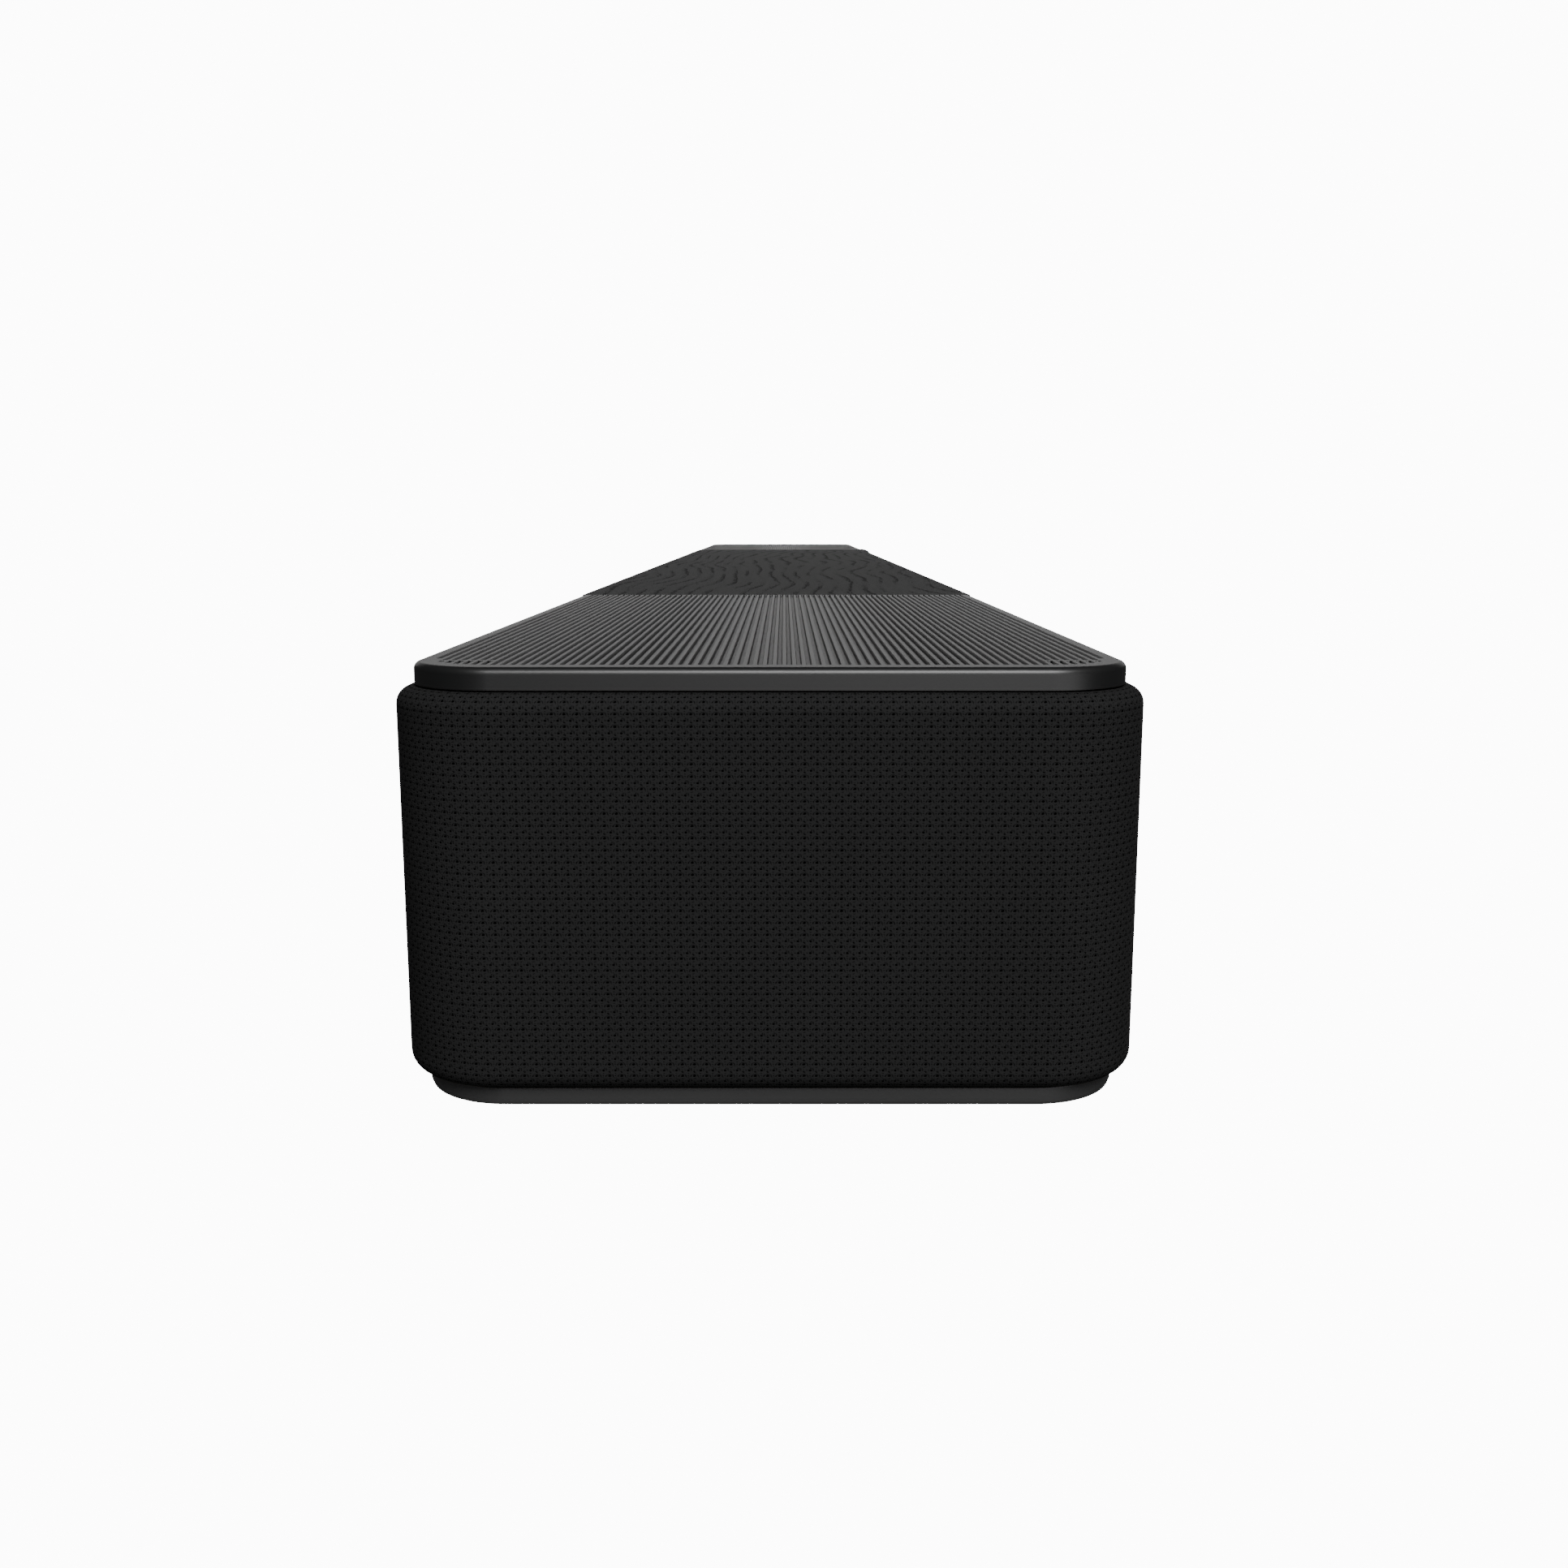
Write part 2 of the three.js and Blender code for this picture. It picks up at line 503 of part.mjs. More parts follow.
function heightPod(x) {
  const high = DECK_BOTTOM - GAP;
  const outer = block(-POD.x, POD.x, -POD.y, POD.y, POD.low, high);
  const inner = block(POD.wall - POD.x, POD.x - POD.wall, POD.wall - POD.y, POD.y - POD.wall, POD.low - 1, 90);
  const tilted = (z0, z1) => {
    const geometry = new THREE.BoxGeometry(200, 200, z1 - z0).translate(0, 0, (z0 + z1) / 2);
    return solid(geometry.rotateX(HEIGHT_TILT).translate(0, 0, POD_BAFFLE_Z));
  };
  const hole = new THREE.CylinderGeometry(MID.bore + 1.3, MID.bore + 1.3, 40, ROUND).rotateX(Math.PI / 2);
  const bore = solid(hole.rotateX(HEIGHT_TILT).translate(0, 0, POD_BAFFLE_Z));
  const pod = outer.subtract(inner.intersect(tilted(0, 80))).subtract(inner.intersect(tilted(-80, -2.5)));
  const placed = geometryOf(pod.subtract(bore));
  return solid(placed.translate(x, 0, 0));
}

HEIGHT_PLACES.forEach((x) => {
  add(`height_pod_${sideName(x)}`, heightPod(x), BLACK);
  driver('height_driver', sideName(x), MID, (seat) => {
    seat.rotation.x = HEIGHT_TILT;
    seat.position.set(x, -Math.sin(HEIGHT_TILT) * GAP, POD_BAFFLE_Z + Math.cos(HEIGHT_TILT) * GAP);
  });
});

function tweeterHorn() {
  const { mouth, flange, throat, horn } = TWEETER;
  return turned([
    [throat + 2, -horn], [flange - 4, -1], [flange - 4, 0], [flange, 0], [flange, 2], [mouth, 2],
    [mouth - 2, -0.5], [throat + 3, -6], [throat, -horn], [throat + 2, -horn],
  ]);
}

function tweeterMagnet() {
  const { magnet, horn, depth, throat } = TWEETER;
  const face = -horn - GAP;
  return turned([
    [0, -depth], [magnet, -depth], [magnet, face], [throat, face], [throat, -depth + 4],
    [throat - 2, -depth + 4], [throat - 2, face - 4], [0, face - 4],
  ]);
}

function tweeterDome() {
  const { horn, throat } = TWEETER;
  const base = -horn - 1.6;
  const rim = throat - 0.4;
  return turned([
    [0, base + 2.6], [rim - 3, base + 1.4], [rim - 1.2, base], [rim - 1.2, base - 5], [rim - 0.2, base - 5],
    [rim, base + 1], [rim - 2, base + 2], [rim - 5, base + 3.6], [0, base + 4.4],
  ]);
}

const tweeter = new THREE.Group();
tweeter.rotation.x = Math.PI / 2;
tweeter.position.set(0, BAFFLE_Y - GAP, MID_Z);
soundbar.add(tweeter);
add('tweeter_horn', tweeterHorn(), BLACK, tweeter);
add('tweeter_magnet', tweeterMagnet(), MAGNET, tweeter);
add('tweeter_dome', tweeterDome(), CONE, tweeter);

// ---- Electronics --------------------------------------------------------------------------------------
function powerSupplyBoard() {
  let board = block(272, 332, -42, 48, 14, 15.6);
  board = board.add(block(280, 308, 6, 34, 15, 40)).add(block(314, 328, 6, 40, 15, 28));
  for (const y of [-30, -12]) board = board.add(rod(8, 15, 42, 300, y, false, 14));
  return board;
}

function heatsink() {
  let sink = block(-62, -8, 9, BOARD_Y - GAP, 20, 60);
  for (let x = -57.5; x < -12; x += 6) sink = sink.subtract(block(x, x + 3.5, 0, BOARD_Y - 3.5, 10, 70));
  return sink;
}

// The status lights and the remote's receiver, on one board behind the fabric.
function displayBoard() {
  const face = BAFFLE_Y - GAP;
  const back = block(122, 180, face - 1.4, face, MID_Z - 10, MID_Z + 10);
  const lights = block(126, 152, face - 3.4, face - 1, MID_Z - 4, MID_Z + 4);
  return back.add(lights).add(rod(2.6, face - 3.4, face - 1, 172, MID_Z, true, 12));
}

add('main_board', block(-72, 94, BOARD_Y, BOARD_Y + 1.6, 12, 66), BOARD);
add('heatsink', heatsink(), STEEL);
add('wireless_module', block(58, 84, BOARD_Y - 3.5, BOARD_Y - GAP, 42, 60), STEEL);
add('power_supply_board', powerSupplyBoard(), BOARD);
add('display_board', displayBoard(), BOARD);

export default soundbar;
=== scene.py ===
import json
import math

import bmesh
import bpy
from bpy.props import FloatProperty, FloatVectorProperty, IntProperty, PointerProperty
from mathutils import Matrix, Vector


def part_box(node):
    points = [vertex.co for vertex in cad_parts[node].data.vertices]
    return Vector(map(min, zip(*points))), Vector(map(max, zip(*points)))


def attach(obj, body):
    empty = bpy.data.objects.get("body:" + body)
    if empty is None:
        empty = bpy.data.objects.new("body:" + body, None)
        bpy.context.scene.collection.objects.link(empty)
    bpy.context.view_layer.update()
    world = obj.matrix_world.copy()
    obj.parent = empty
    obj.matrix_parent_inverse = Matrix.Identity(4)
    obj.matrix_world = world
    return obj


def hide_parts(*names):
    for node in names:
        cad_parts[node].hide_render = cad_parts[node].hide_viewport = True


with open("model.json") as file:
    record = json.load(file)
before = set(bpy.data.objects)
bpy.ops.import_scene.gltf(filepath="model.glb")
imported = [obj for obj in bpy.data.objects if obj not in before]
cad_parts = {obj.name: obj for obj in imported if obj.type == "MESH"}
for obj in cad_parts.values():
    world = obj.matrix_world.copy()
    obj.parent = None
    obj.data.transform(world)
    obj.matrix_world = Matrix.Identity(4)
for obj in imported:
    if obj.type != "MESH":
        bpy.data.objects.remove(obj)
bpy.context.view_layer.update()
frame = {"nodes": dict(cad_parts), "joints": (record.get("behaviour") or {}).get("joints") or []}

bl_info = {
    "name": "Soundbar",
    "version": (1, 0, 0),
    "blender": (4, 5, 0),
    "location": "View3D > Sidebar > Soundbar",
    "description": "A fabric-wrapped soundbar with slotted caps, a wood panel and a glossy control tab",
    "category": "Object",
}

MM = 0.001
SIDES = ("left", "right")
BUTTONS = ("power", "source", "volume_down", "volume_up")
DRIVERS = ("1", "2", "3", "4")
BODY = "body"


# ---- Sizes and colours a user would change ------------------------------------------------------

def length(name, description, default):
    """A size in metres, whose default is given in millimetres."""
    return FloatProperty(name=name, description=description, default=default * MM, min=0.0,
                         precision=5, unit="LENGTH", subtype="DISTANCE")


def colour(name, description, default):
    return FloatVectorProperty(name=name, description=description, default=default, size=3, min=0.0,
                               max=1.0, subtype="COLOR")


class SoundbarSizes(bpy.types.PropertyGroup):
    fabric_corner: length("Fabric corner", "Plan radius of the wrap's corners", 17.4)
    fabric_shoulder: length("Fabric shoulder", "Rounding of the wrap's upper edge", 3.0)
    fabric_heel: length("Fabric heel", "Rounding of the wrap's lower edge", 3.3)
    fabric_thickness: length("Fabric thickness", "Thickness of the knit", 0.8)
    knit_cell: length("Knit cell", "Repeat of the knit across and up the cloth", 2.01)
    trim_corner: length("Trim corner", "Plan radius of the top trim's corners", 14.85)
    trim_fillet: length("Trim fillet", "Rounding of the trim's upper edge", 1.2)
    slot_pitch: length("Slot pitch", "Distance from one grille slot to the next", 1.612)
    slot_width: length("Slot width", "Width of a grille slot", 0.94)
    slot_lean: length("Slot lean", "How far a slot's wall leans in at the floor", 0.15)
    slot_depth: length("Slot depth", "From the cap's top down to a slot's dark floor", 0.65)
    slot_border: length("Slot border", "From the cap's end to the slots' ends", 4.8)
    slot_corner: length("Slot corner", "Radius of the slotted field's outer corners", 11.0)
    slot_bridge: length("Slot bridge", "From the cap's end to the bridge across the corner slots", 13.0)
    plinth_corner: length("Plinth corner", "Plan radius of the plinth's corners", 15.5)
    plinth_chamfer: length("Plinth chamfer", "Chamfer round the plinth's lower edge", 1.04)
    slot_count: IntProperty(name="Slots", description="Slots across each cap", default=71, min=3, max=120)


class SoundbarColours(bpy.types.PropertyGroup):
    knit: colour("Knit", "Yarn of the wrap", (0.0200, 0.0200, 0.0204))
    trim: colour("Trim", "Satin caps", (0.0085, 0.0086, 0.0088))
    groove: colour("Groove", "Floor of the slots", (0.012, 0.012, 0.0123))
    plinth: colour("Plinth", "Satin plinth", (0.050, 0.050, 0.0505))
    carrier: colour("Carrier", "Matt rim round the wood", (0.004, 0.004, 0.004))
    wood: colour("Wood", "Stained veneer", (0.0270, 0.0270, 0.0272))
    black: colour("Black plastic", "Rear panels and inner housings", (0.012, 0.012, 0.0125))
    gloss: colour("Gloss black", "Control tab and its buttons", (0.004, 0.004, 0.0045))
    rubber: colour("Rubber", "Feet", (0.011, 0.011, 0.011))
    steel: colour("Plated steel", "Socket shells and inserts", (0.60, 0.60, 0.61))
    board: colour("Circuit board", "Solder mask of the boards", (0.012, 0.085, 0.030))


def sizes():
    return bpy.context.scene.soundbar_sizes


def colours():
    return bpy.context.scene.soundbar_colours


# ---- Materials ----------------------------------------------------------------------------------

class Finish:
    """One material, with short calls for the nodes that it is built from."""

    def __init__(self, name, roughness, metallic=0.0, specular=0.5):
        self.material = bpy.data.materials.new(name)
        self.material.use_nodes = True
        self.tree = self.material.node_tree
        self.surface = self.tree.nodes["Principled BSDF"]
        self.set("Roughness", roughness)
        self.set("Metallic", metallic)
        self.set("Specular IOR Level", specular)

    def set(self, socket, value):
        self.surface.inputs[socket].default_value = value

    def node(self, kind, inputs=None, **settings):
        """A new node, with each input either linked to another node's output or set to a value."""
        node = self.tree.nodes.new(kind)
        for name, value in settings.items():
            setattr(node, name, value)
        for socket, value in (inputs or {}).items():
            if isinstance(value, bpy.types.NodeSocket):
                self.tree.links.new(value, node.inputs[socket])
            else:
                node.inputs[socket].default_value = value
        return node

    def math(self, operation, first, second=0.0, clamp=False):
        inputs = {0: first, 1: second}
        return self.node("ShaderNodeMath", inputs, operation=operation, use_clamp=clamp).outputs[0]

    def vector(self, operation, first, second=(0.0, 0.0, 0.0)):
        inputs = {0: first, 1: second}
        return self.node("ShaderNodeVectorMath", inputs, operation=operation).outputs[0]

    def place(self):
        """Where a point lies on the piece, in metres."""
        return self.node("ShaderNodeTexCoord").outputs["Object"]

    def cloth_map(self):
        """Where a point lies on the cloth, in metres of cloth."""
        return self.node("ShaderNodeTexCoord").outputs["UV"]

    def stretched(self, vector, *scale):
        """Coordinates multiplied along each axis, so that a high scale gives fine detail."""
        return self.vector("MULTIPLY", vector, scale)

    def noise(self, vector, scale=1.0, detail=2.0, rough=0.5):
        inputs = {"Vector": vector, "Scale": scale, "Detail": detail, "Roughness": rough}
        return self.node("ShaderNodeTexNoise", inputs).outputs[0]

    def remap(self, value, low, high, to_low=0.0, to_high=1.0, smooth=True):
        kind = "SMOOTHSTEP" if smooth else "LINEAR"
        inputs = {"Value": value, "From Min": low, "From Max": high, "To Min": to_low, "To Max": to_high}
        return self.node("ShaderNodeMapRange", inputs, interpolation_type=kind).outputs[0]

    def blend(self, factor, first, second):
        inputs = {0: factor, 6: first, 7: second}
        return self.node("ShaderNodeMix", inputs, data_type="RGBA").outputs[2]

    def bump(self, height, distance, strength=1.0):
        inputs = {"Height": height, "Distance": distance, "Strength": strength}
        return self.node("ShaderNodeBump", inputs).outputs[0]

    def wire(self, socket, output):
        self.tree.links.new(output, self.surface.inputs[socket])


def shade(tone, factor=1.0):
    """A colour made darker or lighter, with the alpha that a colour socket needs."""
    return (*[min(1.0, part * factor) for part in tone], 1.0)


def moulded_finish(name, tone, roughness, grain=0.5 * MM, depth=0.02 * MM, spread=0.05, specular=0.5):
    """Spark-eroded plastic: a fine grain in its relief and gloss, and slow changes of tone."""
    finish = Finish(name, roughness, specular=specular)
    spot = finish.place()
    fine = finish.noise(spot, 1.0 / grain, 3.0, 0.6)
    broad = finish.noise(spot, 14.0, 4.0, 0.6)
    tint = finish.remap(broad, 0.3, 0.7)
    finish.wire("Base Color", finish.blend(tint, shade(tone, 0.93), shade(tone, 1.06)))
    finish.wire("Roughness", finish.remap(fine, 0.25, 0.75, roughness - spread, roughness + spread))
    finish.wire("Normal", finish.bump(fine, depth))
    return finish.material


SATIN = (0.2 * MM, 0.0002 * MM, 0.01)  # grain, depth and spread of the satin pieces


def gloss_finish():
    """Polished piano black, with the faint waviness of a moulding."""
    finish = Finish("gloss_black", 0.06, specular=0.5)
    finish.set("Coat Weight", 0.6)
    finish.set("Coat Roughness", 0.03)
    spot = finish.place()
    dust = finish.remap(finish.noise(spot, 2200.0, 1.0), 0.68, 0.74)
    tone = colours().gloss
    finish.wire("Base Color", finish.blend(dust, shade(tone), shade(tone, 1.9)))
    finish.wire("Roughness", finish.remap(finish.noise(spot, 60.0, 2.0), 0.3, 0.7, 0.05, 0.09))
    finish.wire("Normal", finish.bump(finish.noise(spot, 45.0, 1.0), 0.06 * MM))
    return finish.material


# The openings in one cell of the knit: the middle across and up, half the width and half the height, all
# as fractions of the cell, then the turn in degrees and the darkness of the painted shade seen through it.
KNIT_OPENINGS = (
    (0.000, 0.000, 0.125, 0.075, 8.0, 1.00),
    (0.015, 0.035, 0.095, 0.080, 0.0, 1.00),
    (-0.290, 0.000, 0.045, 0.095, -32.0, 0.75),
    (0.285, 0.000, 0.048, 0.120, 14.0, 0.60),
    (-0.510, 0.015, 0.048, 0.052, 0.0, 0.55),
    (-0.510, 0.215, 0.068, 0.042, 8.0, 0.45),
    (-0.500, -0.170, 0.040, 0.036, 0.0, 0.35),
    (0.330, -0.150, 0.040, 0.036, 0.0, 0.30),
    (0.020, -0.260, 0.100, 0.048, 24.0, 0.42),
    (-0.015, -0.490, 0.050, 0.045, 0.0, 0.35),
    (0.000, -0.650, 0.095, 0.055, -30.0, 0.80),
    (-0.497, -0.515, 0.098, 0.080, 4.0, 1.00),
    (-0.430, -0.360, 0.052, 0.085, -18.0, 0.50),
    (-0.262, -0.440, 0.055, 0.135, 10.0, 0.52),
    (0.240, -0.505, 0.065, 0.055, 0.0, 0.45),
)
# A thin arch of painted shade over the largest opening: half its width, half its height, its band and
# darkness.
KNIT_ARCH_SHADE = (0.265, 0.175, 0.18, 0.40)
KNIT_START = (0.07, 0.25, 0.0)


def knit_finish():
    """Black warp knit on the cloth's own map: in each cell two large openings and a ring of small ones,
    filled with painted shade.
    """
    finish = Finish("knitted_fabric", 0.92)
    tone, pitch = colours().knit, sizes().knit_cell
    cloth = finish.cloth_map()
    stray = 0.06 * MM
    wander = finish.remap(finish.noise(cloth, 350.0), 0.0, 1.0, -stray, stray)
    drift = finish.node("ShaderNodeCombineXYZ", {"X": wander})
    yarn = finish.vector("ADD", cloth, drift.outputs[0])
    cell = finish.vector("SUBTRACT", finish.vector("DIVIDE", yarn, (pitch, pitch, 1.0)), KNIT_START)

    def within(across, up, half_width, half_height, turn):
        """How far a point lies from an opening's centre, as a share of the opening's half size."""
        offset = finish.vector("SUBTRACT", cell, (across - 0.5, up - 0.5, 0.0))
        near = finish.vector("SUBTRACT", finish.vector("FRACTION", offset), (0.5, 0.5, 0.0))
        flat = finish.stretched(near, 1.0, 1.0, 0.0)
        inputs = {"Vector": flat, "Rotation": (0.0, 0.0, math.radians(turn)),
                  "Scale": (half_width, half_height, 1.0)}
        local = finish.node("ShaderNodeMapping", inputs, vector_type="TEXTURE").outputs[0]
        return local, finish.node("ShaderNodeVectorMath", {0: local}, operation="LENGTH").outputs["Value"]

    radius_x, radius_y, band, depth = KNIT_ARCH_SHADE
    local, away = within(0.0, -0.01, radius_x, radius_y, 0.0)
    off_ring = finish.math("ABSOLUTE", finish.math("SUBTRACT", away, 1.0))
    upper = finish.node("ShaderNodeSeparateXYZ", {0: local}).outputs["Y"]
    # The mask of painted shade starts with the arch along the upper side of the largest opening.
    holes = finish.math("MULTIPLY", finish.remap(off_ring, band * 0.2, band * 1.5, depth, 0.0),
                        finish.remap(upper, 0.05, 0.35))
    # Each opening raises the mask to its darkness, as painted shade seen into the bar through it.
    for across, up, half_width, half_height, turn, dark in KNIT_OPENINGS:
        away = within(across, up, half_width, half_height, turn)[1]
        holes = finish.math("MAXIMUM", holes, finish.remap(away, 0.45, 1.55, dark, 0.0))
    fibre = finish.noise(finish.stretched(cloth, 1.0, 0.35, 1.0), 5200.0)
    patch = finish.noise(cloth, 55.0, 3.0)
    lit = finish.blend(fibre, shade(tone, 0.72), shade(tone, 1.30))
    uneven = finish.blend(finish.remap(patch, 0.3, 0.7), lit, shade(tone, 1.06))
    # Painted shade: where the mask is high, the yarn turns near-black and loses its gloss.
    finish.wire("Base Color", finish.blend(holes, uneven, (0.0002, 0.0002, 0.0002, 1.0)))
    finish.wire("Specular IOR Level", finish.remap(holes, 0.0, 0.7, 0.12, 0.0, smooth=False))
    height = finish.math("SUBTRACT", finish.math("MULTIPLY", fibre, 0.18), holes)
    finish.wire("Normal", finish.bump(height, 0.14 * MM, 0.8))
    return finish.material


def screen_finish():
    """The woven acoustic screen at the bottom of the slots."""
    finish = Finish("acoustic_screen", 0.8, specular=0.3)
    spot = finish.place()
    threads = {"Vector": spot, "Scale": 620.0}
    warp, weft = [finish.node("ShaderNodeTexWave", threads, bands_direction=way).outputs[1] for way in "XY"]
    weave = finish.math("MULTIPLY", warp, weft)
    speck = finish.noise(spot, 2600.0, 2.0)
    body = finish.math("ADD", finish.math("MULTIPLY", weave, 0.6), finish.math("MULTIPLY", speck, 0.4))
    tone = colours().trim
    finish.wire("Base Color", finish.blend(body, shade(tone, 0.35), shade(tone, 1.25)))
    finish.wire("Normal", finish.bump(weave, 0.08 * MM, 0.6))
    return finish.material


def wood_finish():
    """Black-stained open-pore veneer: long waving rings drawn by their pores, along the bar."""
    finish = Finish("stained_veneer", 0.62)
    tone = colours().wood
    spot = finish.place()
    ring_pitch, sway, waver = 6.4 * MM, 48 * MM, 2.8 * MM
    bent = finish.node("ShaderNodeSeparateXYZ", {0: spot}).outputs["Y"]
    sweep = finish.noise(finish.stretched(spot, 5.0, 9.0, 1.0), detail=1.0, rough=0.4)
    ripple = finish.noise(finish.stretched(spot, 24.0, 40.0, 1.0))
    for bend, amount in ((sweep, sway), (ripple, waver)):
        shift = finish.math("MULTIPLY", finish.math("SUBTRACT", bend, 0.5), amount)
        bent = finish.math("ADD", bent, shift)
    ring = finish.math("FRACT", finish.math("DIVIDE", bent, ring_pitch))
    early = finish.math("MULTIPLY", finish.remap(ring, 0.0, 0.12), finish.remap(ring, 0.55, 0.14))
    clump = finish.noise(finish.stretched(spot, 13.0, 90.0, 1.0))
    dense = finish.math("MULTIPLY", early, finish.remap(clump, 0.32, 0.60))
    pores = finish.noise(finish.stretched(spot, 170.0, 1500.0, 1.0), rough=0.6)
    crowd = finish.math("ADD", finish.math("MULTIPLY", dense, 0.26), pores)
    pore = finish.remap(crowd, 0.59, 0.82)
    dark = finish.math("MAXIMUM", pore, finish.math("MULTIPLY", dense, 0.62))
    figure = finish.noise(finish.stretched(spot, 9.0, 400.0, 1.0), detail=4.0, rough=0.6)
    plain = finish.blend(finish.remap(figure, 0.3, 0.7), shade(tone, 0.86), shade(tone, 1.14))
    finish.wire("Base Color", finish.blend(dark, plain, shade(tone, 0.46)))
    finish.wire("Specular IOR Level", finish.remap(dark, 0.0, 1.0, 0.16, 0.08, smooth=False))
    finish.wire("Roughness", finish.remap(pore, 0.0, 1.0, 0.66, 0.85))
    relief = finish.math("SUBTRACT", finish.math("MULTIPLY", figure, 0.15), dark)
    finish.wire("Normal", finish.bump(relief, 0.05 * MM, 0.7))
    return finish.material


def rubber_finish():
    """Matt rubber with a dull bloom."""
    finish = Finish("rubber", 0.85, specular=0.25)
    spot = finish.place()
    bloom = finish.noise(spot, 90.0, 4.0, 0.65)
    tone = colours().rubber
    finish.wire("Base Color", finish.blend(bloom, shade(tone, 0.8), shade(tone, 1.5)))
    finish.wire("Normal", finish.bump(finish.noise(spot, 1800.0, 2.0), 0.03 * MM))
    return finish.material


def metal_finish(name, tone, roughness):
    """Plated or rolled metal, with a fine streak and a faint stain."""
    grain = (900.0, 60.0, 60.0)
    finish = Finish(name, roughness, metallic=1.0)
    spot = finish.place()
    streak = finish.noise(finish.stretched(spot, *grain), 1.0, 3.0, 0.6)
    stain = finish.noise(spot, 40.0, 4.0, 0.6)
    finish.wire("Base Color", finish.blend(stain, shade(tone, 0.88), shade(tone, 1.08)))
    finish.wire("Roughness", finish.remap(streak, 0.3, 0.7, roughness - 0.08, roughness + 0.08))
    finish.wire("Normal", finish.bump(streak, 0.01 * MM))
    return finish.material


def board_finish():
    """Green solder mask over copper tracks."""
    finish = Finish("solder_mask", 0.35, specular=0.5)
    tone = colours().board
    spot = finish.place()
    cells = finish.node("ShaderNodeTexVoronoi", {"Vector": spot, "Scale": 260.0}, distance="CHEBYCHEV")
    track = finish.remap(cells.outputs["Distance"], 0.42, 0.46)
    finish.wire("Base Color", finish.blend(track, shade(tone), shade(tone, 1.9)))
    finish.wire("Normal", finish.bump(track, 0.04 * MM))
    return finish.material


def cone_finish():
    """Pressed paper pulp with a matt treatment."""
    finish = Finish("treated_cone", 0.75, specular=0.3)
    spot = finish.place()
    pulp = finish.noise(spot, 420.0, 5.0, 0.7)
    finish.wire("Base Color", finish.blend(pulp, (0.008, 0.008, 0.008, 1.0), (0.024, 0.024, 0.024, 1.0)))
    finish.wire("Normal", finish.bump(pulp, 0.08 * MM))
    return finish.material


FINISHES = {
    "knit": knit_finish,
    "screen": screen_finish,
    "wood": wood_finish,
    "trim": lambda: moulded_finish("satin_trim", colours().trim, 0.40, *SATIN, specular=0.8),
    "plinth": lambda: moulded_finish("satin_plinth", colours().plinth, 0.33, *SATIN, specular=1.0),
    "groove": lambda: moulded_finish("slot_floor", colours().groove, 0.44, 0.6 * MM, 0.002 * MM, 0.04),
    "black": lambda: moulded_finish("black_plastic", colours().black, 0.55, depth=0.04 * MM),
    "carrier": lambda: moulded_finish("matt_carrier", colours().carrier, 0.85, depth=0.01 * MM,
                                      specular=0.06),
    "motor": lambda: moulded_finish("coated_steel", (0.03, 0.03, 0.032), 0.45, 0.4 * MM, 0.03 * MM),
    "gloss": gloss_finish,
    "rubber": rubber_finish,
    "cone": cone_finish,
    "steel": lambda: metal_finish("plated_steel", colours().steel, 0.32),
    "heatsink": lambda: metal_finish("bare_aluminium", (0.62, 0.62, 0.64), 0.4),
    "board": board_finish,
}
MADE = {}


def material_of(name):
    """The finish of that name, made when the first piece needs it."""
    if name not in MADE:
        MADE[name] = FINISHES[name]()
    return MADE[name]


# ---- Mesh helpers -------------------------------------------------------------------------------

def finish_piece(name, bm, material, node, body=BODY, smooth=35.0):
    """Turns a bmesh into a piece that rides on its body and stands for its CAD node."""
    mesh = bpy.data.meshes.new(name)
    bm.to_mesh(mesh)
    bm.free()
    mesh.shade_smooth()
    mesh.set_sharp_from_angle(angle=math.radians(smooth))
    piece = bpy.data.objects.new(name, mesh)
    bpy.context.scene.collection.objects.link(piece)
    mesh.materials.append(material_of(material))
    shading = piece.modifiers.new("shading", "WEIGHTED_NORMAL")
    shading.keep_sharp = True
    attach(piece, body)
    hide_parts(node)
    return piece


def box_mesh(low, high):
    """A plain block between two corners."""
    bm = bmesh.new()
    bmesh.ops.create_cube(bm, size=1.0)
    size = [high[i] - low[i] for i in range(3)]
    middle = [(high[i] + low[i]) / 2 for i in range(3)]
    bmesh.ops.scale(bm, vec=size, verts=bm.verts)
    bmesh.ops.translate(bm, vec=middle, verts=bm.verts)
    return bm


def bevel(bm, edges, offset, segments, clamp=False):
    bmesh.ops.bevel(bm, geom=edges, offset=offset, offset_type="OFFSET", segments=segments,
                    profile=0.5, affect="EDGES", clamp_overlap=clamp, material=-1)
    bm.normal_update()


def is_upright(edge):
    start, end = (vert.co for vert in edge.verts)
    return abs(start.z - end.z) > 1e-6 and (start.xy - end.xy).length < 1e-7


def rim(bm, height):
    """The edges round the flat top or bottom face at that height."""
    return [edge for edge in bm.edges
            if all(abs(vert.co.z - height) < 1e-7 for vert in edge.verts)
            and any(abs(face.normal.z) < 0.5 for face in edge.link_faces)]


def rounded_slab(low, high, corner, segments, top=0.0, bottom=0.0, steps=4):
    """A slab with rounded upright corners, and rounded rims where their size is given."""
    bm = box_mesh(low, high)
    bevel(bm, [edge for edge in bm.edges if is_upright(edge)], corner, segments)
    for height, size in ((high[2], top), (low[2], bottom)):
        if size:
            bevel(bm, rim(bm, height), size, steps)
    return bm


def spun(profile, segments):
    """A turned piece about Z. The profile is (radius, height) points that start and end on the axis."""
    bm = bmesh.new()
    verts = [bm.verts.new((radius, 0.0, height)) for radius, height in profile]
    edges = [bm.edges.new(pair) for pair in zip(verts, verts[1:])]
    bmesh.ops.spin(bm, geom=verts + edges, cent=(0, 0, 0), axis=(0, 0, 1), angle=math.tau,
                   steps=segments, use_merge=True)
    bmesh.ops.remove_doubles(bm, verts=bm.verts, dist=1e-7)
    bmesh.ops.recalc_face_normals(bm, faces=bm.faces)
    return bm


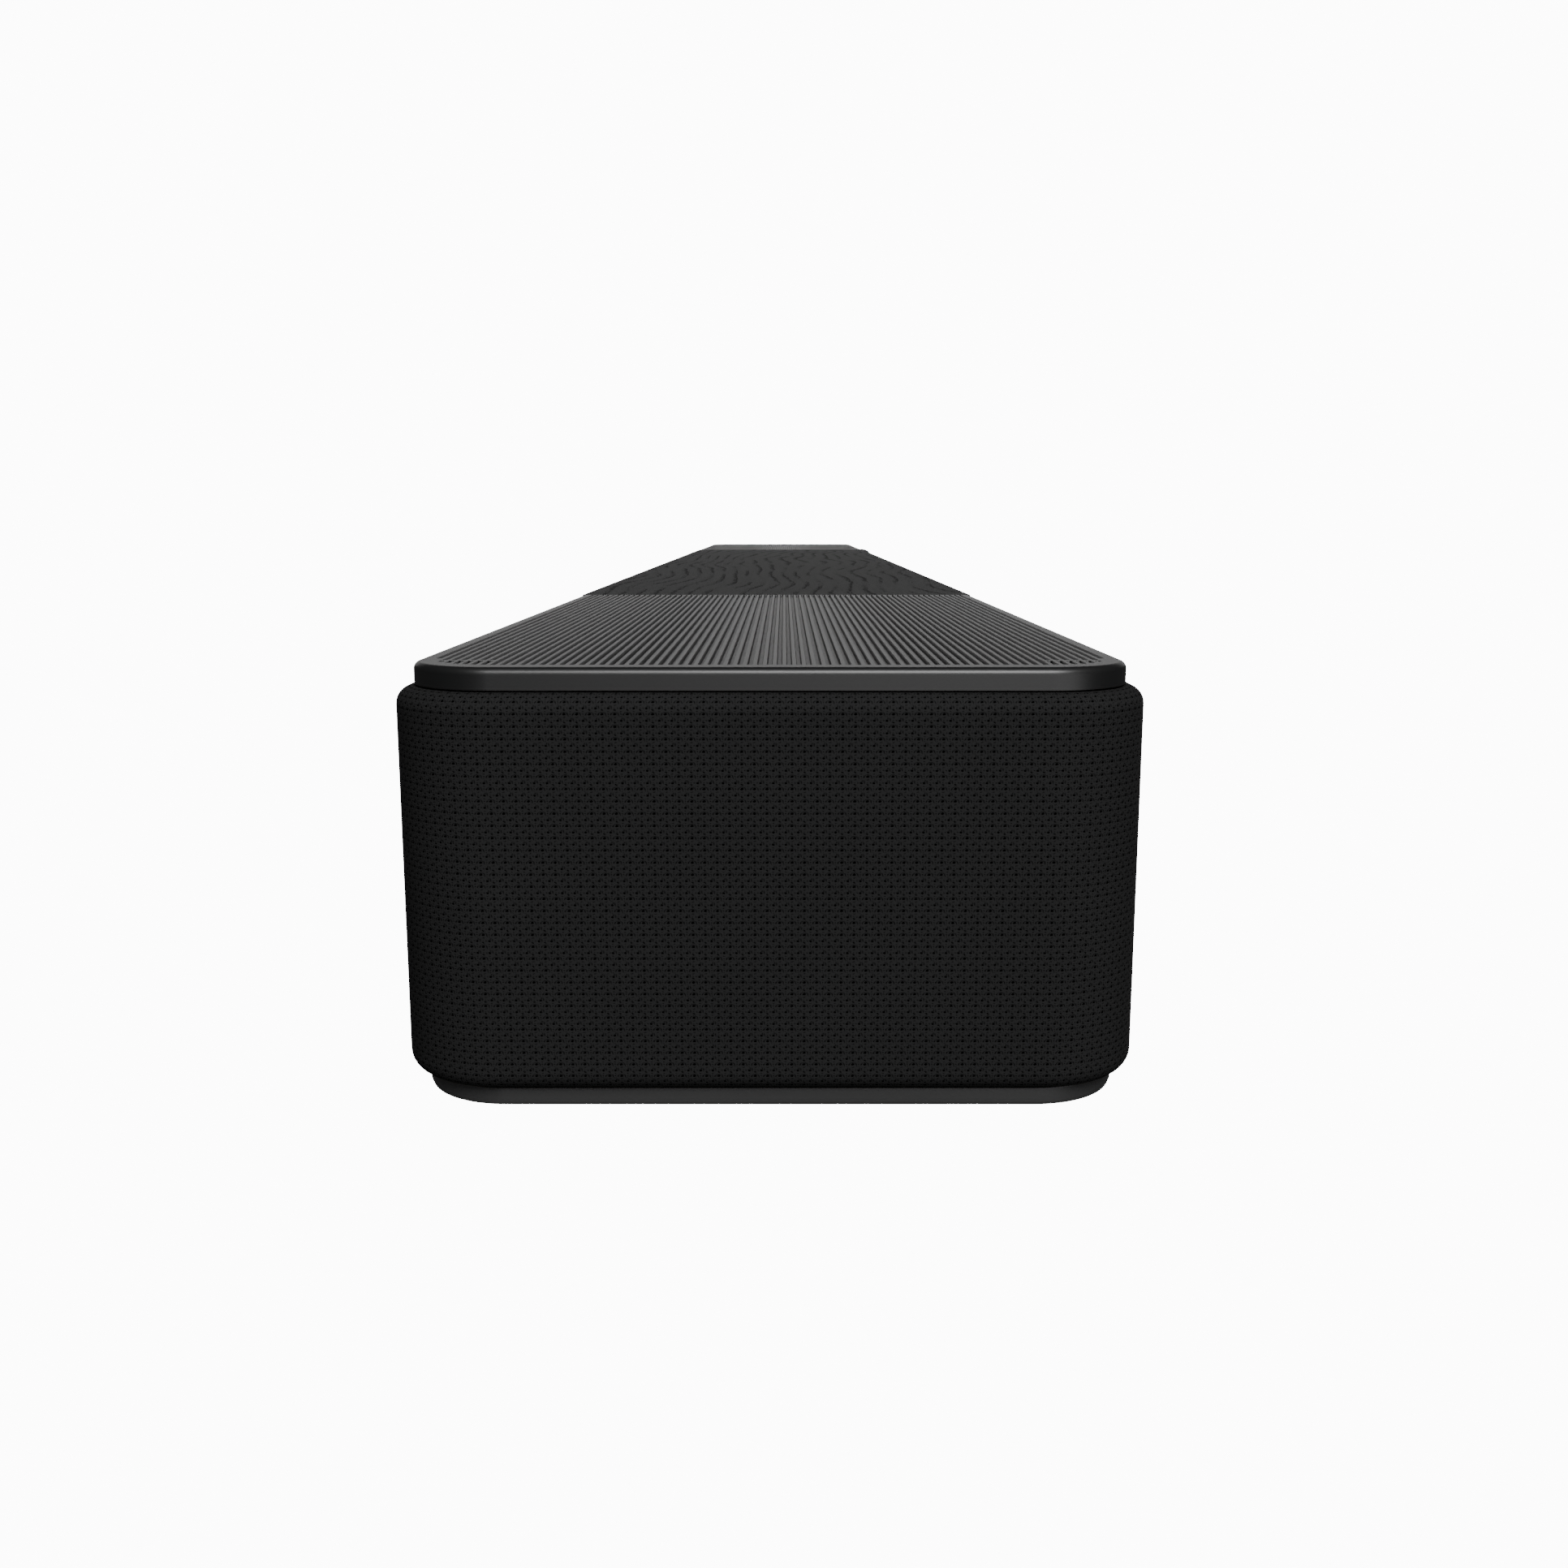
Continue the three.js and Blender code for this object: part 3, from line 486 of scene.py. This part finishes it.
def prism(outline, low, high, axis="z"):
    """A closed outline raised from low to high along Z, or along X from points in the YZ plane."""
    bm = bmesh.new()
    if axis == "z":
        verts = [bm.verts.new((a, b, low)) for a, b in outline]
        move = (0, 0, high - low)
    else:
        verts = [bm.verts.new((low, a, b)) for a, b in outline]
        move = (high - low, 0, 0)
    base = bm.faces.new(verts)
    raised = bmesh.ops.extrude_face_region(bm, geom=[base])
    moved = [part for part in raised["geom"] if isinstance(part, bmesh.types.BMVert)]
    bmesh.ops.translate(bm, vec=move, verts=moved)
    if not base.is_valid:
        bm.faces.new(verts)
    bmesh.ops.recalc_face_normals(bm, faces=bm.faces)
    return bm


def arc(centre, radius, start, end, steps):
    return [(centre[0] + radius * math.cos(math.radians(start + (end - start) * i / steps)),
             centre[1] + radius * math.sin(math.radians(start + (end - start) * i / steps)))
            for i in range(steps + 1)]


def join_meshes(parts):
    """Several bmeshes as one, without welding them."""
    whole = bmesh.new()
    for part in parts:
        mesh = bpy.data.meshes.new("part")
        part.to_mesh(mesh)
        part.free()
        whole.from_mesh(mesh)
        bpy.data.meshes.remove(mesh)
    return whole


def cut(bm, cutters):
    """bm with the cutters taken away by an exact boolean."""
    scene = bpy.context.scene
    objects = []
    for part, name in ((bm, "blank"), (join_meshes(cutters), "cutter")):
        mesh = bpy.data.meshes.new(name)
        part.to_mesh(mesh)
        part.free()
        thing = bpy.data.objects.new(name, mesh)
        scene.collection.objects.link(thing)
        objects.append(thing)
    blank, cutter = objects
    modifier = blank.modifiers.new("cut", "BOOLEAN")
    modifier.operation = "DIFFERENCE"
    modifier.solver = "EXACT"
    modifier.object = cutter
    shaped = blank.evaluated_get(bpy.context.evaluated_depsgraph_get())
    result = bmesh.new()
    result.from_mesh(shaped.to_mesh())
    shaped.to_mesh_clear()
    for thing in objects:
        mesh = thing.data
        bpy.data.objects.remove(thing)
        bpy.data.meshes.remove(mesh)
    return result


def sharp_edges(bm, angle=30.0):
    limit = math.radians(angle)
    return [edge for edge in bm.edges if len(edge.link_faces) == 2 and edge.calc_face_angle() > limit]


def refine(node, material, soften=0.2, body=BODY, segments=2):
    """A CAD node with its triangles merged and its edges softened by that many millimetres."""
    bm = bmesh.new()
    bm.from_mesh(frame["nodes"][node].data)
    bmesh.ops.remove_doubles(bm, verts=bm.verts, dist=1e-6)
    bmesh.ops.dissolve_limit(bm, angle_limit=math.radians(1.0), verts=bm.verts, edges=bm.edges)
    if soften:
        bm.normal_update()
        bevel(bm, sharp_edges(bm), soften * MM, segments, clamp=True)
    bmesh.ops.triangulate(bm, faces=[face for face in bm.faces if len(face.verts) > 4])
    return finish_piece(node + "_moulding", bm, material, node, body)


# ---- The fabric wrap ----------------------------------------------------------------------------

def wrap_map(bm, low, high, corner, shoulder, heel):
    """Gives the wrap a map in metres of cloth: round the bar, and up it over both rounded edges."""
    middle_y = (low.y + high.y) / 2
    half_x, half_y = (high.x - low.x) / 2, (high.y - low.y) / 2
    run_x, run_y = half_x - corner, half_y - corner
    quarter = math.pi / 2 * corner
    layer = bm.loops.layers.uv.new("cloth")

    def around(point):
        x, y = point.x, point.y - middle_y
        if abs(x) > run_x and abs(y) > run_y:
            angle = math.atan2(abs(x) - run_x, abs(y) - run_y)
            bend = corner * angle
            front_half = run_x + bend
            return math.copysign(front_half if y < 0 else 2 * (run_x + quarter + run_y) - front_half, x)
        if abs(x) > run_x:
            return math.copysign(run_x + quarter + (y + run_y), x)
        if y < 0:
            return x
        return math.copysign(2 * (run_x + quarter + run_y) - abs(x), x)

    def inset(point):
        x, y = abs(point.x), abs(point.y - middle_y)
        if x > run_x and y > run_y:
            return corner - math.hypot(x - run_x, y - run_y)
        return half_x - x if x > run_x else half_y - y

    def up(point):
        for centre, radius, sign in ((high.z - shoulder, shoulder, 1), (low.z + heel, heel, -1)):
            rise = (point.z - centre) * sign
            if rise > 0:
                depth = inset(point)
                turn = math.atan2(rise, max(radius - depth, 0.0))
                return centre + sign * (radius * turn + max(depth - radius, 0.0))
        return point.z

    for face in bm.faces:
        for loop in face.loops:
            loop[layer].uv = (around(loop.vert.co), up(loop.vert.co))


class SOUNDBAR_OT_fabric_wrap(bpy.types.Operator):
    """Wraps the front, the ends and the rear corners in knitted fabric"""
    bl_idname = "soundbar.fabric_wrap"
    bl_label = "Fabric wrap"

    def execute(self, context):
        size = sizes()
        low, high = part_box("fabric_wrap")
        corner, shoulder, heel = size.fabric_corner, size.fabric_shoulder, size.fabric_heel
        tuck, gap = 1.6 * MM, 0.2 * MM
        rear_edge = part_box("rear_panel_right")[1].x
        bm = rounded_slab(low, high, corner, 24, shoulder, heel, 8)
        for height in (low.z, high.z):
            flat = [face for face in bm.faces
                    if abs(face.normal.z) > 0.99 and abs(face.calc_center_median().z - height) < 1e-6]
            bmesh.ops.inset_region(bm, faces=flat, thickness=tuck, use_even_offset=True)
            bmesh.ops.delete(bm, geom=flat, context="FACES")
        for sign in (-1, 1):
            bmesh.ops.bisect_plane(bm, geom=bm.verts[:] + bm.edges[:] + bm.faces[:], dist=1e-7,
                                   plane_co=(sign * (rear_edge + gap), 0, 0), plane_no=(1, 0, 0))
        middles = [(face, face.calc_center_median()) for face in bm.faces]
        behind = [face for face, middle in middles if middle.y > high.y / 2 and abs(middle.x) < rear_edge]
        bmesh.ops.delete(bm, geom=behind, context="FACES")
        wrap_map(bm, low, high, corner, shoulder, heel)
        wrap = finish_piece("knitted_wrap", bm, "knit", "fabric_wrap", smooth=80.0)
        shell = wrap.modifiers.new("thickness", "SOLIDIFY")
        shell.thickness = size.fabric_thickness
        shell.offset = -1.0
        return {"FINISHED"}


# ---- Top caps, screens, wood panel and carrier --------------------------------------------------

def slot_cutter(start, end, across, floor, top):
    """One slot's cutter: rounded ends, and walls that lean in towards the floor."""
    size = sizes()
    rise = 0.2 * MM

    def outline(grow):
        half = size.slot_width / 2 + grow
        soft = half * 0.6
        low, high = start - grow, end + grow
        return [(low, across + half - soft), (low, across - half + soft), (low + soft, across - half),
                (high - soft, across - half), (high, across - half + soft), (high, across + half - soft),
                (high - soft, across + half), (low + soft, across + half)]

    bm = bmesh.new()
    lean = size.slot_lean
    bottom = [bm.verts.new((x, y, floor)) for x, y in outline(-lean)]
    above = [bm.verts.new((x, y, top + rise)) for x, y in outline(lean * rise / (top - floor))]
    bm.faces.new(bottom[::-1])
    bm.faces.new(above)
    for index in range(len(bottom)):
        after = (index + 1) % len(bottom)
        bm.faces.new((bottom[index], bottom[after], above[after], above[index]))
    bmesh.ops.recalc_face_normals(bm, faces=bm.faces)
    return bm


def seam_and_end(node, side):
    """The x of a cap piece's edge next to the wood panel, and of its edge at the bar's end."""
    low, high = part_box(node)
    return (high.x, low.x) if side == "left" else (low.x, high.x)


def outer_corners(bm, seam, end):
    """The two upright edges at the bar's end."""
    return [edge for edge in bm.edges
            if is_upright(edge) and abs(edge.verts[0].co.x - end) < abs(edge.verts[0].co.x - seam)]


def slot_runs(span, offset, reach):
    """Where a slot starts and ends, from the seam. A bridge splits those that end in a corner."""
    size = sizes()
    start, bridge = 0.3 * MM, 1.1 * MM
    past = max(0.0, abs(offset) - (reach - size.slot_corner))
    rest = math.sqrt(max(size.slot_corner ** 2 - past ** 2, 0.0))
    end = span - size.slot_border - size.slot_corner + rest
    if past == 0.0:
        return [(start, end)]
    stop = span - size.slot_bridge
    runs = [(start, min(stop, end))]
    if end > stop + 2 * bridge:
        runs.append((stop + bridge, end))
    return runs


def grille_cap(side):
    """A satin cap whose slots run along the bar and stop at a field with rounded outer corners."""
    size = sizes()
    node = f"top_grille_{side}"
    low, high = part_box(node)
    seam, end = seam_and_end(node, side)
    outward = math.copysign(1.0, end - seam)
    bm = box_mesh(low, high)
    bevel(bm, outer_corners(bm, seam, end), size.trim_corner, 20)
    top = [edge for edge in rim(bm, high.z) if not all(abs(vert.co.x - seam) < 1e-6 for vert in edge.verts)]
    bevel(bm, top, size.trim_fillet, 6)
    cutters = []
    middle, reach = (low.y + high.y) / 2, (size.slot_count - 1) / 2 * size.slot_pitch
    for index in range(size.slot_count):
        offset = index * size.slot_pitch - reach
        for run in slot_runs(abs(end - seam), offset, reach):
            start, stop = sorted(seam + outward * along for along in run)
            cutters.append(slot_cutter(start, stop, middle + offset, high.z - size.slot_depth, high.z))
    return finish_piece(f"slotted_cap_{side}", cut(bm, cutters), "trim", node, smooth=30.0)


def screen_cloth(side):
    """The acoustic cloth under a cap's slots."""
    node = f"grille_screen_{side}"
    low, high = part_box(node)
    seam, end = seam_and_end(node, side)
    inset = abs(seam_and_end(f"top_grille_{side}", side)[1] - end)
    bm = box_mesh(low, high)
    bevel(bm, outer_corners(bm, seam, end), sizes().trim_corner - inset, 12)
    screen = finish_piece(f"screen_cloth_{side}", bm, "screen", node)


class SOUNDBAR_OT_grille_caps(bpy.types.Operator):
    """Makes the two slotted end caps of the top and the screens below their slots"""
    bl_idname = "soundbar.grille_caps"
    bl_label = "Grille caps"

    def execute(self, context):
        for side in SIDES:
            cap = grille_cap(side)
            cap.data.materials.append(material_of("groove"))
            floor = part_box(f"top_grille_{side}")[1].z - sizes().slot_depth
            for face in cap.data.polygons:
                if abs(face.center.z - floor) < 1e-5 and face.normal.z > 0.9:
                    face.material_index = 1
            screen_cloth(side)
        return {"FINISHED"}


def notched_outline(low, high, notch_x, notch_y):
    """A rectangle without its corner at high x and low y, where the control tab sits."""
    return [(low.x, low.y), (notch_x, low.y), (notch_x, notch_y), (high.x, notch_y), (high.x, high.y),
            (low.x, high.y)]


class SOUNDBAR_OT_wood_panel(bpy.types.Operator):
    """Lays the stained wood panel in its black carrier"""
    bl_idname = "soundbar.wood_panel"
    bl_label = "Wood panel"

    def execute(self, context):
        low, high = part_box("top_wood_panel")
        tab_low, tab_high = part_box("control_tab")
        air = 0.15 * MM
        grow = Vector((0.3, 0.18, 0.0)) * MM
        outline = notched_outline(low - grow, high + grow, tab_low.x - air, tab_high.y + air)
        bm = prism(outline, low.z, high.z)
        bevel(bm, rim(bm, high.z), 0.12 * MM, 2)
        finish_piece("veneer_panel", bm, "wood", "top_wood_panel")
        refine("top_panel_carrier", "carrier", 0.25, segments=3)
        return {"FINISHED"}


# ---- Control tab --------------------------------------------------------------------------------

class SOUNDBAR_OT_control_tab(bpy.types.Operator):
    """Makes the glossy tab over the front edge and its four push buttons"""
    bl_idname = "soundbar.control_tab"
    bl_label = "Control tab"

    def execute(self, context):
        low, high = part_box("control_tab")
        bend, wall, thick = 3.2 * MM, 0.6 * MM, 1.9 * MM
        outline = [(high.y, high.z - thick), (high.y, high.z)]
        outline += arc((low.y + bend, high.z - bend), bend, 90.0, 180.0, 14)
        outline += [(low.y, low.z), (low.y + wall, low.z)]
        outline += arc((low.y + bend, high.z - bend), bend - wall, 180.0, 130.0, 6)
        outline += [(low.y + bend, high.z - thick)]
        bm = prism(outline, low.x, high.x, axis="x")
        ends = [edge for edge in bm.edges if any(abs(face.normal.x) > 0.9 for face in edge.link_faces)]
        bevel(bm, ends, 0.18 * MM, 3)
        corner, play, through = 0.6 * MM, 0.12 * MM, 2 * MM
        grow = Vector((play, play, through))
        keys = {name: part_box(f"button_{name}") for name in BUTTONS}
        holes = [rounded_slab(key_low - grow, key_high + grow, corner + play, 6)
                 for key_low, key_high in keys.values()]
        finish_piece("glossy_tab", cut(bm, holes), "gloss", "control_tab")
        for name, (key_low, key_high) in keys.items():
            key = rounded_slab(key_low, key_high, corner, 8, top=0.15 * MM, steps=3)
            finish_piece(f"key_{name}", key, "gloss", f"button_{name}", f"button_{name}")
        refine("button_board", "board", soften=0.0)
        return {"FINISHED"}


# ---- Plinth and feet ----------------------------------------------------------------------------

class SOUNDBAR_OT_plinth(bpy.types.Operator):
    """Makes the plinth with its woofer guards and the rubber feet"""
    bl_idname = "soundbar.plinth"
    bl_label = "Plinth and feet"

    def execute(self, context):
        size = sizes()
        low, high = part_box("base_tray")
        bm = rounded_slab(low, high, size.plinth_corner, 20, bottom=size.plinth_chamfer, steps=2)
        skin, through, hair = 1.6 * MM, 2 * MM, 0.1 * MM
        wall = Vector((6, 6, 0)) * MM
        cutters = [rounded_slab(low + wall + Vector((0, 0, skin)), high - wall + Vector((0, 0, through)),
                                9 * MM, 8)]
        reach, pitch, half_width = 37 * MM, 7.5 * MM, 2.2 * MM
        for side in SIDES:
            cone_low, cone_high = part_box(f"woofer_cone_{side}")
            centre = (cone_low + cone_high) / 2
            for row in range(-4, 5):
                half = math.sqrt(reach ** 2 - (row * pitch) ** 2)
                y = centre.y + row * pitch
                slot_low = Vector((centre.x - half, y - half_width, low.z - through))
                slot_high = Vector((centre.x + half, y + half_width, low.z + skin + 4 * hair))
                cutters.append(rounded_slab(slot_low, slot_high, half_width - hair, 6))
        finish_piece("plinth_tray", cut(bm, cutters), "plinth", "base_tray", smooth=30.0)
        for index in range(1, 5):
            low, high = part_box(f"foot_{index}")
            pad = rounded_slab(low, high, (high.y - low.y) / 2 - hair, 12, bottom=0.9 * MM)
            finish_piece(f"rubber_foot_{index}", pad, "rubber", f"foot_{index}")
        return {"FINISHED"}


# ---- Rear panels, socket bay and sockets --------------------------------------------------------

SOCKET_LOOKS = {"power_inlet": "black", "sub_out_jack": "black", "usb_socket": "steel",
                "optical_socket": "black", "hdmi_socket": "steel"}


class SOUNDBAR_OT_rear(bpy.types.Operator):
    """Makes the rear panels, the socket bay with its sockets and the wall inserts"""
    bl_idname = "soundbar.rear"
    bl_label = "Rear panels and sockets"

    def execute(self, context):
        for side in SIDES:
            refine(f"rear_panel_{side}", "black", 0.3)
            refine(f"wall_insert_{side}", "steel")
        refine("socket_bay", "black", 0.4, segments=3)
        for node, look in SOCKET_LOOKS.items():
            refine(node, look, 0.15)
        return {"FINISHED"}


# ---- Drivers ------------------------------------------------------------------------------------

class Driver:
    """Profiles of one size of driver, in millimetres, drawn about Z and firing towards +Z. Heights are
    from the back of the flange."""

    def __init__(self, bore, flange, depth, magnet, coil, travel):
        self.bore, self.flange, self.depth = bore, flange, depth
        self.magnet, self.coil, self.travel = magnet, coil, travel

    def frame(self):
        bore, flange, magnet, coil = self.bore, self.flange, self.magnet, self.coil
        back = -self.depth
        seat = back + self.depth * 0.4
        pole = seat + 1.5
        straight = -3 - self.travel
        return [(0, back), (magnet, back), (magnet, seat), (bore + 1, straight), (bore + 1, 0),
                (flange, 0), (flange, 2), (bore, 2), (bore, straight), (magnet - 3, pole),
                (coil + 0.8, pole), (coil + 0.8, back + 3), (coil - 1.2, back + 3), (coil - 1.2, pole),
                (0, pole)]

    def cone(self):
        seat = -self.depth * 0.6
        edge = self.bore - 0.5
        neck = seat + 1.5 + self.travel + 1
        coil = self.coil
        roll = arc((edge - 2.0, -1.9), 1.5, 0.0, 180.0, 8)
        former = seat - self.travel - 1
        return [(0, neck + 3), (coil - 0.8, neck + 1), (coil - 0.8, former), (coil + 0.3, former),
                (coil + 0.3, neck - 0.4), (edge - 3.5, -2.9), (edge, -2.2), *roll,
                (coil + 1.5, neck + 1.4), (coil, neck + 2.6), (coil * 0.75, neck + 3.7),
                (coil * 0.4, neck + 4.4), (0, neck + 4.6)]


MID = Driver(25.5, 31.5, 30, 20, 8, 2.5)
WOOFER = Driver(41, 50, 46, 30, 13, 4)


def turned_piece(name, profile, seat, material, node, body):
    bm = spun([(radius * MM, height * MM) for radius, height in profile], 56)
    bm.transform(seat)
    return finish_piece(name, bm, material, node, body)


def flange_seat(driver, low, high, axis):
    """Where the back of a frame's flange lies, from the frame's box and the way it leans forward."""
    lean = math.atan2(-axis.y, axis.z)
    rings = ((driver.magnet, -driver.depth), (driver.flange, 2.0), (driver.flange, 0.0))
    points = [(radius * side, height) for radius, height in rings for side in (-1, 1)]
    ys = [-x * math.cos(lean) - z * math.sin(lean) for x, z in points]
    zs = [-x * math.sin(lean) + z * math.cos(lean) for x, z in points]
    centre = Vector((0, min(ys) + max(ys), min(zs) + max(zs))) / 2 * MM
    return (low + high) / 2 - centre


def driver_pair(kind, index, driver, axis):
    """A driver's frame and cone, seated on the CAD frame's flange and turned to fire along axis."""
    axis = Vector(axis).normalized()
    turn = axis.to_track_quat("Z", "X").to_matrix().to_4x4()
    frame_node, cone_node = f"{kind}_frame_{index}", f"{kind}_cone_{index}"
    seat = Matrix.Translation(flange_seat(driver, *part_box(frame_node), axis)) @ turn
    turned_piece(f"{kind}_basket_{index}", driver.frame(), seat, "motor", frame_node, BODY)
    turned_piece(f"{kind}_diaphragm_{index}", driver.cone(), seat, "cone", cone_node, cone_node)


class SOUNDBAR_OT_drivers(bpy.types.Operator):
    """Makes the front, upward and downward drivers and the horn tweeter"""
    bl_idname = "soundbar.drivers"
    bl_label = "Drivers"

    def execute(self, context):
        for index in DRIVERS:
            driver_pair("front_driver", index, MID, (0, -1, 0))
        for side in SIDES:
            joint = next(j for j in frame["joints"] if j["name"] == f"height_cone_{side}_stroke")
            driver_pair("height_driver", side, MID, joint["axis"])
            driver_pair("woofer", side, WOOFER, (0, 0, -1))
            refine(f"height_pod_{side}", "black", 0.3)
        refine("tweeter_horn", "black")
        refine("tweeter_magnet", "motor")
        refine("tweeter_dome", "cone", soften=0.0, body="tweeter_dome")
        return {"FINISHED"}


# ---- Housings and electronics -------------------------------------------------------------------

class SOUNDBAR_OT_housings(bpy.types.Operator):
    """Finishes the speaker boxes, the centre housing and the frame that carries the fabric"""
    bl_idname = "soundbar.housings"
    bl_label = "Housings"

    def execute(self, context):
        for node in ("speaker_box_left", "speaker_box_right", "centre_housing", "grille_frame"):
            material = frame["nodes"][node].data.materials
            material.clear()
            material.append(material_of("black"))
        return {"FINISHED"}


class SOUNDBAR_OT_electronics(bpy.types.Operator):
    """Finishes the circuit boards, the heatsink and the radio module"""
    bl_idname = "soundbar.electronics"
    bl_label = "Electronics"

    def execute(self, context):
        for node in ("main_board", "power_supply_board", "display_board"):
            refine(node, "board")
        refine("heatsink", "heatsink")
        refine("wireless_module", "steel")
        return {"FINISHED"}


# ---- Stage --------------------------------------------------------------------------------------

# Soft lights: name, where each aims along the bar (0 at its left end, 1 at its right), turn about Z from
# the left end towards the front and rise, both in degrees, distance and size in metres, and watts.
LIGHTS = (
    ("key", 0.0, 10.0, 45.0, 1.8, (1.0, 1.0), 34.0),
    ("low_fill", 0.0, 22.0, -5.0, 3.0, (3.2, 1.4), 17.5),
    ("horizon", 0.0, 180.0, 10.0, 2.1, (2.8, 0.42), 4.35),
    ("front_side_fill", 0.5, 146.0, -12.0, 3.0, (1.4, 0.8), 260.0),
    ("rear_side_fill", 0.5, -150.0, -12.0, 3.0, (1.4, 0.8), 260.0),
)


SHOWN_WHITE = 12.0  # strength of the surround and the floor where the camera sees them
SOFT_LIGHT = 0.04  # strength of the surround as a light


def white_world():
    """An even pale surround that lights the bar softly and shows as plain white."""
    world = bpy.data.worlds.new("studio")
    bpy.context.scene.world = world
    world.use_nodes = True
    tree = world.node_tree
    background = tree.nodes["Background"]
    path = tree.nodes.new("ShaderNodeLightPath")
    strength = tree.nodes.new("ShaderNodeMapRange")
    strength.inputs["To Min"].default_value = SOFT_LIGHT
    strength.inputs["To Max"].default_value = SHOWN_WHITE
    tree.links.new(path.outputs["Is Camera Ray"], strength.inputs["Value"])
    tree.links.new(strength.outputs[0], background.inputs["Strength"])
    background.inputs["Color"].default_value = (1.0, 1.0, 1.0, 1.0)


def area_light(name, place, aim, size, power):
    data = bpy.data.lights.new(name, "AREA")
    data.shape = "RECTANGLE"
    data.size, data.size_y = size
    data.energy = power
    light = bpy.data.objects.new(name, data)
    light.location = place
    light.rotation_euler = (Vector(aim) - Vector(place)).to_track_quat("-Z", "Y").to_euler()
    light.visible_glossy = not name.endswith("side_fill")
    bpy.context.scene.collection.objects.link(light)


def pale_floor():
    """A floor that shows as plain white from above and lets light through from below."""
    bm = bmesh.new()
    bmesh.ops.create_grid(bm, x_segments=1, y_segments=1, size=12.0)
    mesh = bpy.data.meshes.new("floor")
    bm.to_mesh(mesh)
    bm.free()
    floor = bpy.data.objects.new("floor", mesh)
    bpy.context.scene.collection.objects.link(floor)
    finish = Finish("floor_paint", 0.9)
    finish.tree.nodes.remove(finish.surface)
    clear = finish.node("ShaderNodeBsdfTransparent")
    glow = finish.node("ShaderNodeEmission", {"Strength": SHOWN_WHITE})
    path = finish.node("ShaderNodeLightPath").outputs["Is Camera Ray"]
    below = finish.node("ShaderNodeNewGeometry").outputs["Backfacing"]
    seen = finish.math("SUBTRACT", path, below, clamp=True)
    mix = finish.node("ShaderNodeMixShader", {0: seen})
    finish.tree.links.new(clear.outputs[0], mix.inputs[1])
    finish.tree.links.new(glow.outputs[0], mix.inputs[2])
    finish.tree.links.new(mix.outputs[0], finish.tree.nodes["Material Output"].inputs["Surface"])
    mesh.materials.append(finish.material)


class SOUNDBAR_OT_stage(bpy.types.Operator):
    """Sets the camera at the bar's left end, the soft lights and the floor"""
    bl_idname = "soundbar.stage"
    bl_label = "Stage"

    def execute(self, context):
        low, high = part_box("top_grille_left")
        back, aside, above, dip = 240 * MM, -2.35 * MM, 23.67 * MM, 10.05
        camera = bpy.data.cameras.new("camera")
        camera.lens = 34.58
        camera.sensor_width = 36.0
        camera.clip_start = 0.01
        eye = bpy.data.objects.new("camera", camera)
        eye.location = (low.x - back, (low.y + high.y) / 2 + aside, high.z + above)
        eye.rotation_euler = (math.radians(90 - dip), 0.0, math.radians(-90))
        context.scene.collection.objects.link(eye)
        context.scene.camera = eye
        white_world()
        pale_floor()
        for name, along, turn, rise, away, size, power in LIGHTS:
            aim = Vector((low.x * (1 - 2 * along), 0.0, high.z))
            turn, rise = math.radians(turn), math.radians(rise)
            level = math.cos(rise)
            heading = Vector((-math.cos(turn) * level, -math.sin(turn) * level, math.sin(rise)))
            area_light(name, aim + heading * away, aim, size, power)
        return {"FINISHED"}


# ---- Panel and registration ---------------------------------------------------------------------

STEPS = ("stage", "fabric_wrap", "grille_caps", "wood_panel", "control_tab", "plinth", "rear", "drivers",
         "housings", "electronics")


class SOUNDBAR_PT_parts(bpy.types.Panel):
    bl_idname = "SOUNDBAR_PT_parts"
    bl_label = "Soundbar"
    bl_space_type = "VIEW_3D"
    bl_region_type = "UI"
    bl_category = "Soundbar"

    def draw(self, context):
        for group in (context.scene.soundbar_sizes, context.scene.soundbar_colours):
            for name in group.__annotations__:
                self.layout.prop(group, name)
        for step in STEPS:
            self.layout.operator(f"soundbar.{step}")


CLASSES = (SoundbarSizes, SoundbarColours, SOUNDBAR_OT_stage, SOUNDBAR_OT_fabric_wrap,
           SOUNDBAR_OT_grille_caps, SOUNDBAR_OT_wood_panel, SOUNDBAR_OT_control_tab, SOUNDBAR_OT_plinth,
           SOUNDBAR_OT_rear, SOUNDBAR_OT_drivers, SOUNDBAR_OT_housings, SOUNDBAR_OT_electronics,
           SOUNDBAR_PT_parts)


def register():
    for each in CLASSES:
        bpy.utils.register_class(each)
    bpy.types.Scene.soundbar_sizes = PointerProperty(type=SoundbarSizes)
    bpy.types.Scene.soundbar_colours = PointerProperty(type=SoundbarColours)


def unregister():
    del bpy.types.Scene.soundbar_colours
    del bpy.types.Scene.soundbar_sizes
    for each in reversed(CLASSES):
        bpy.utils.unregister_class(each)


def main():
    register()
    for step in STEPS:
        getattr(bpy.ops.soundbar, step)()


if __name__ == "__main__":
    main()
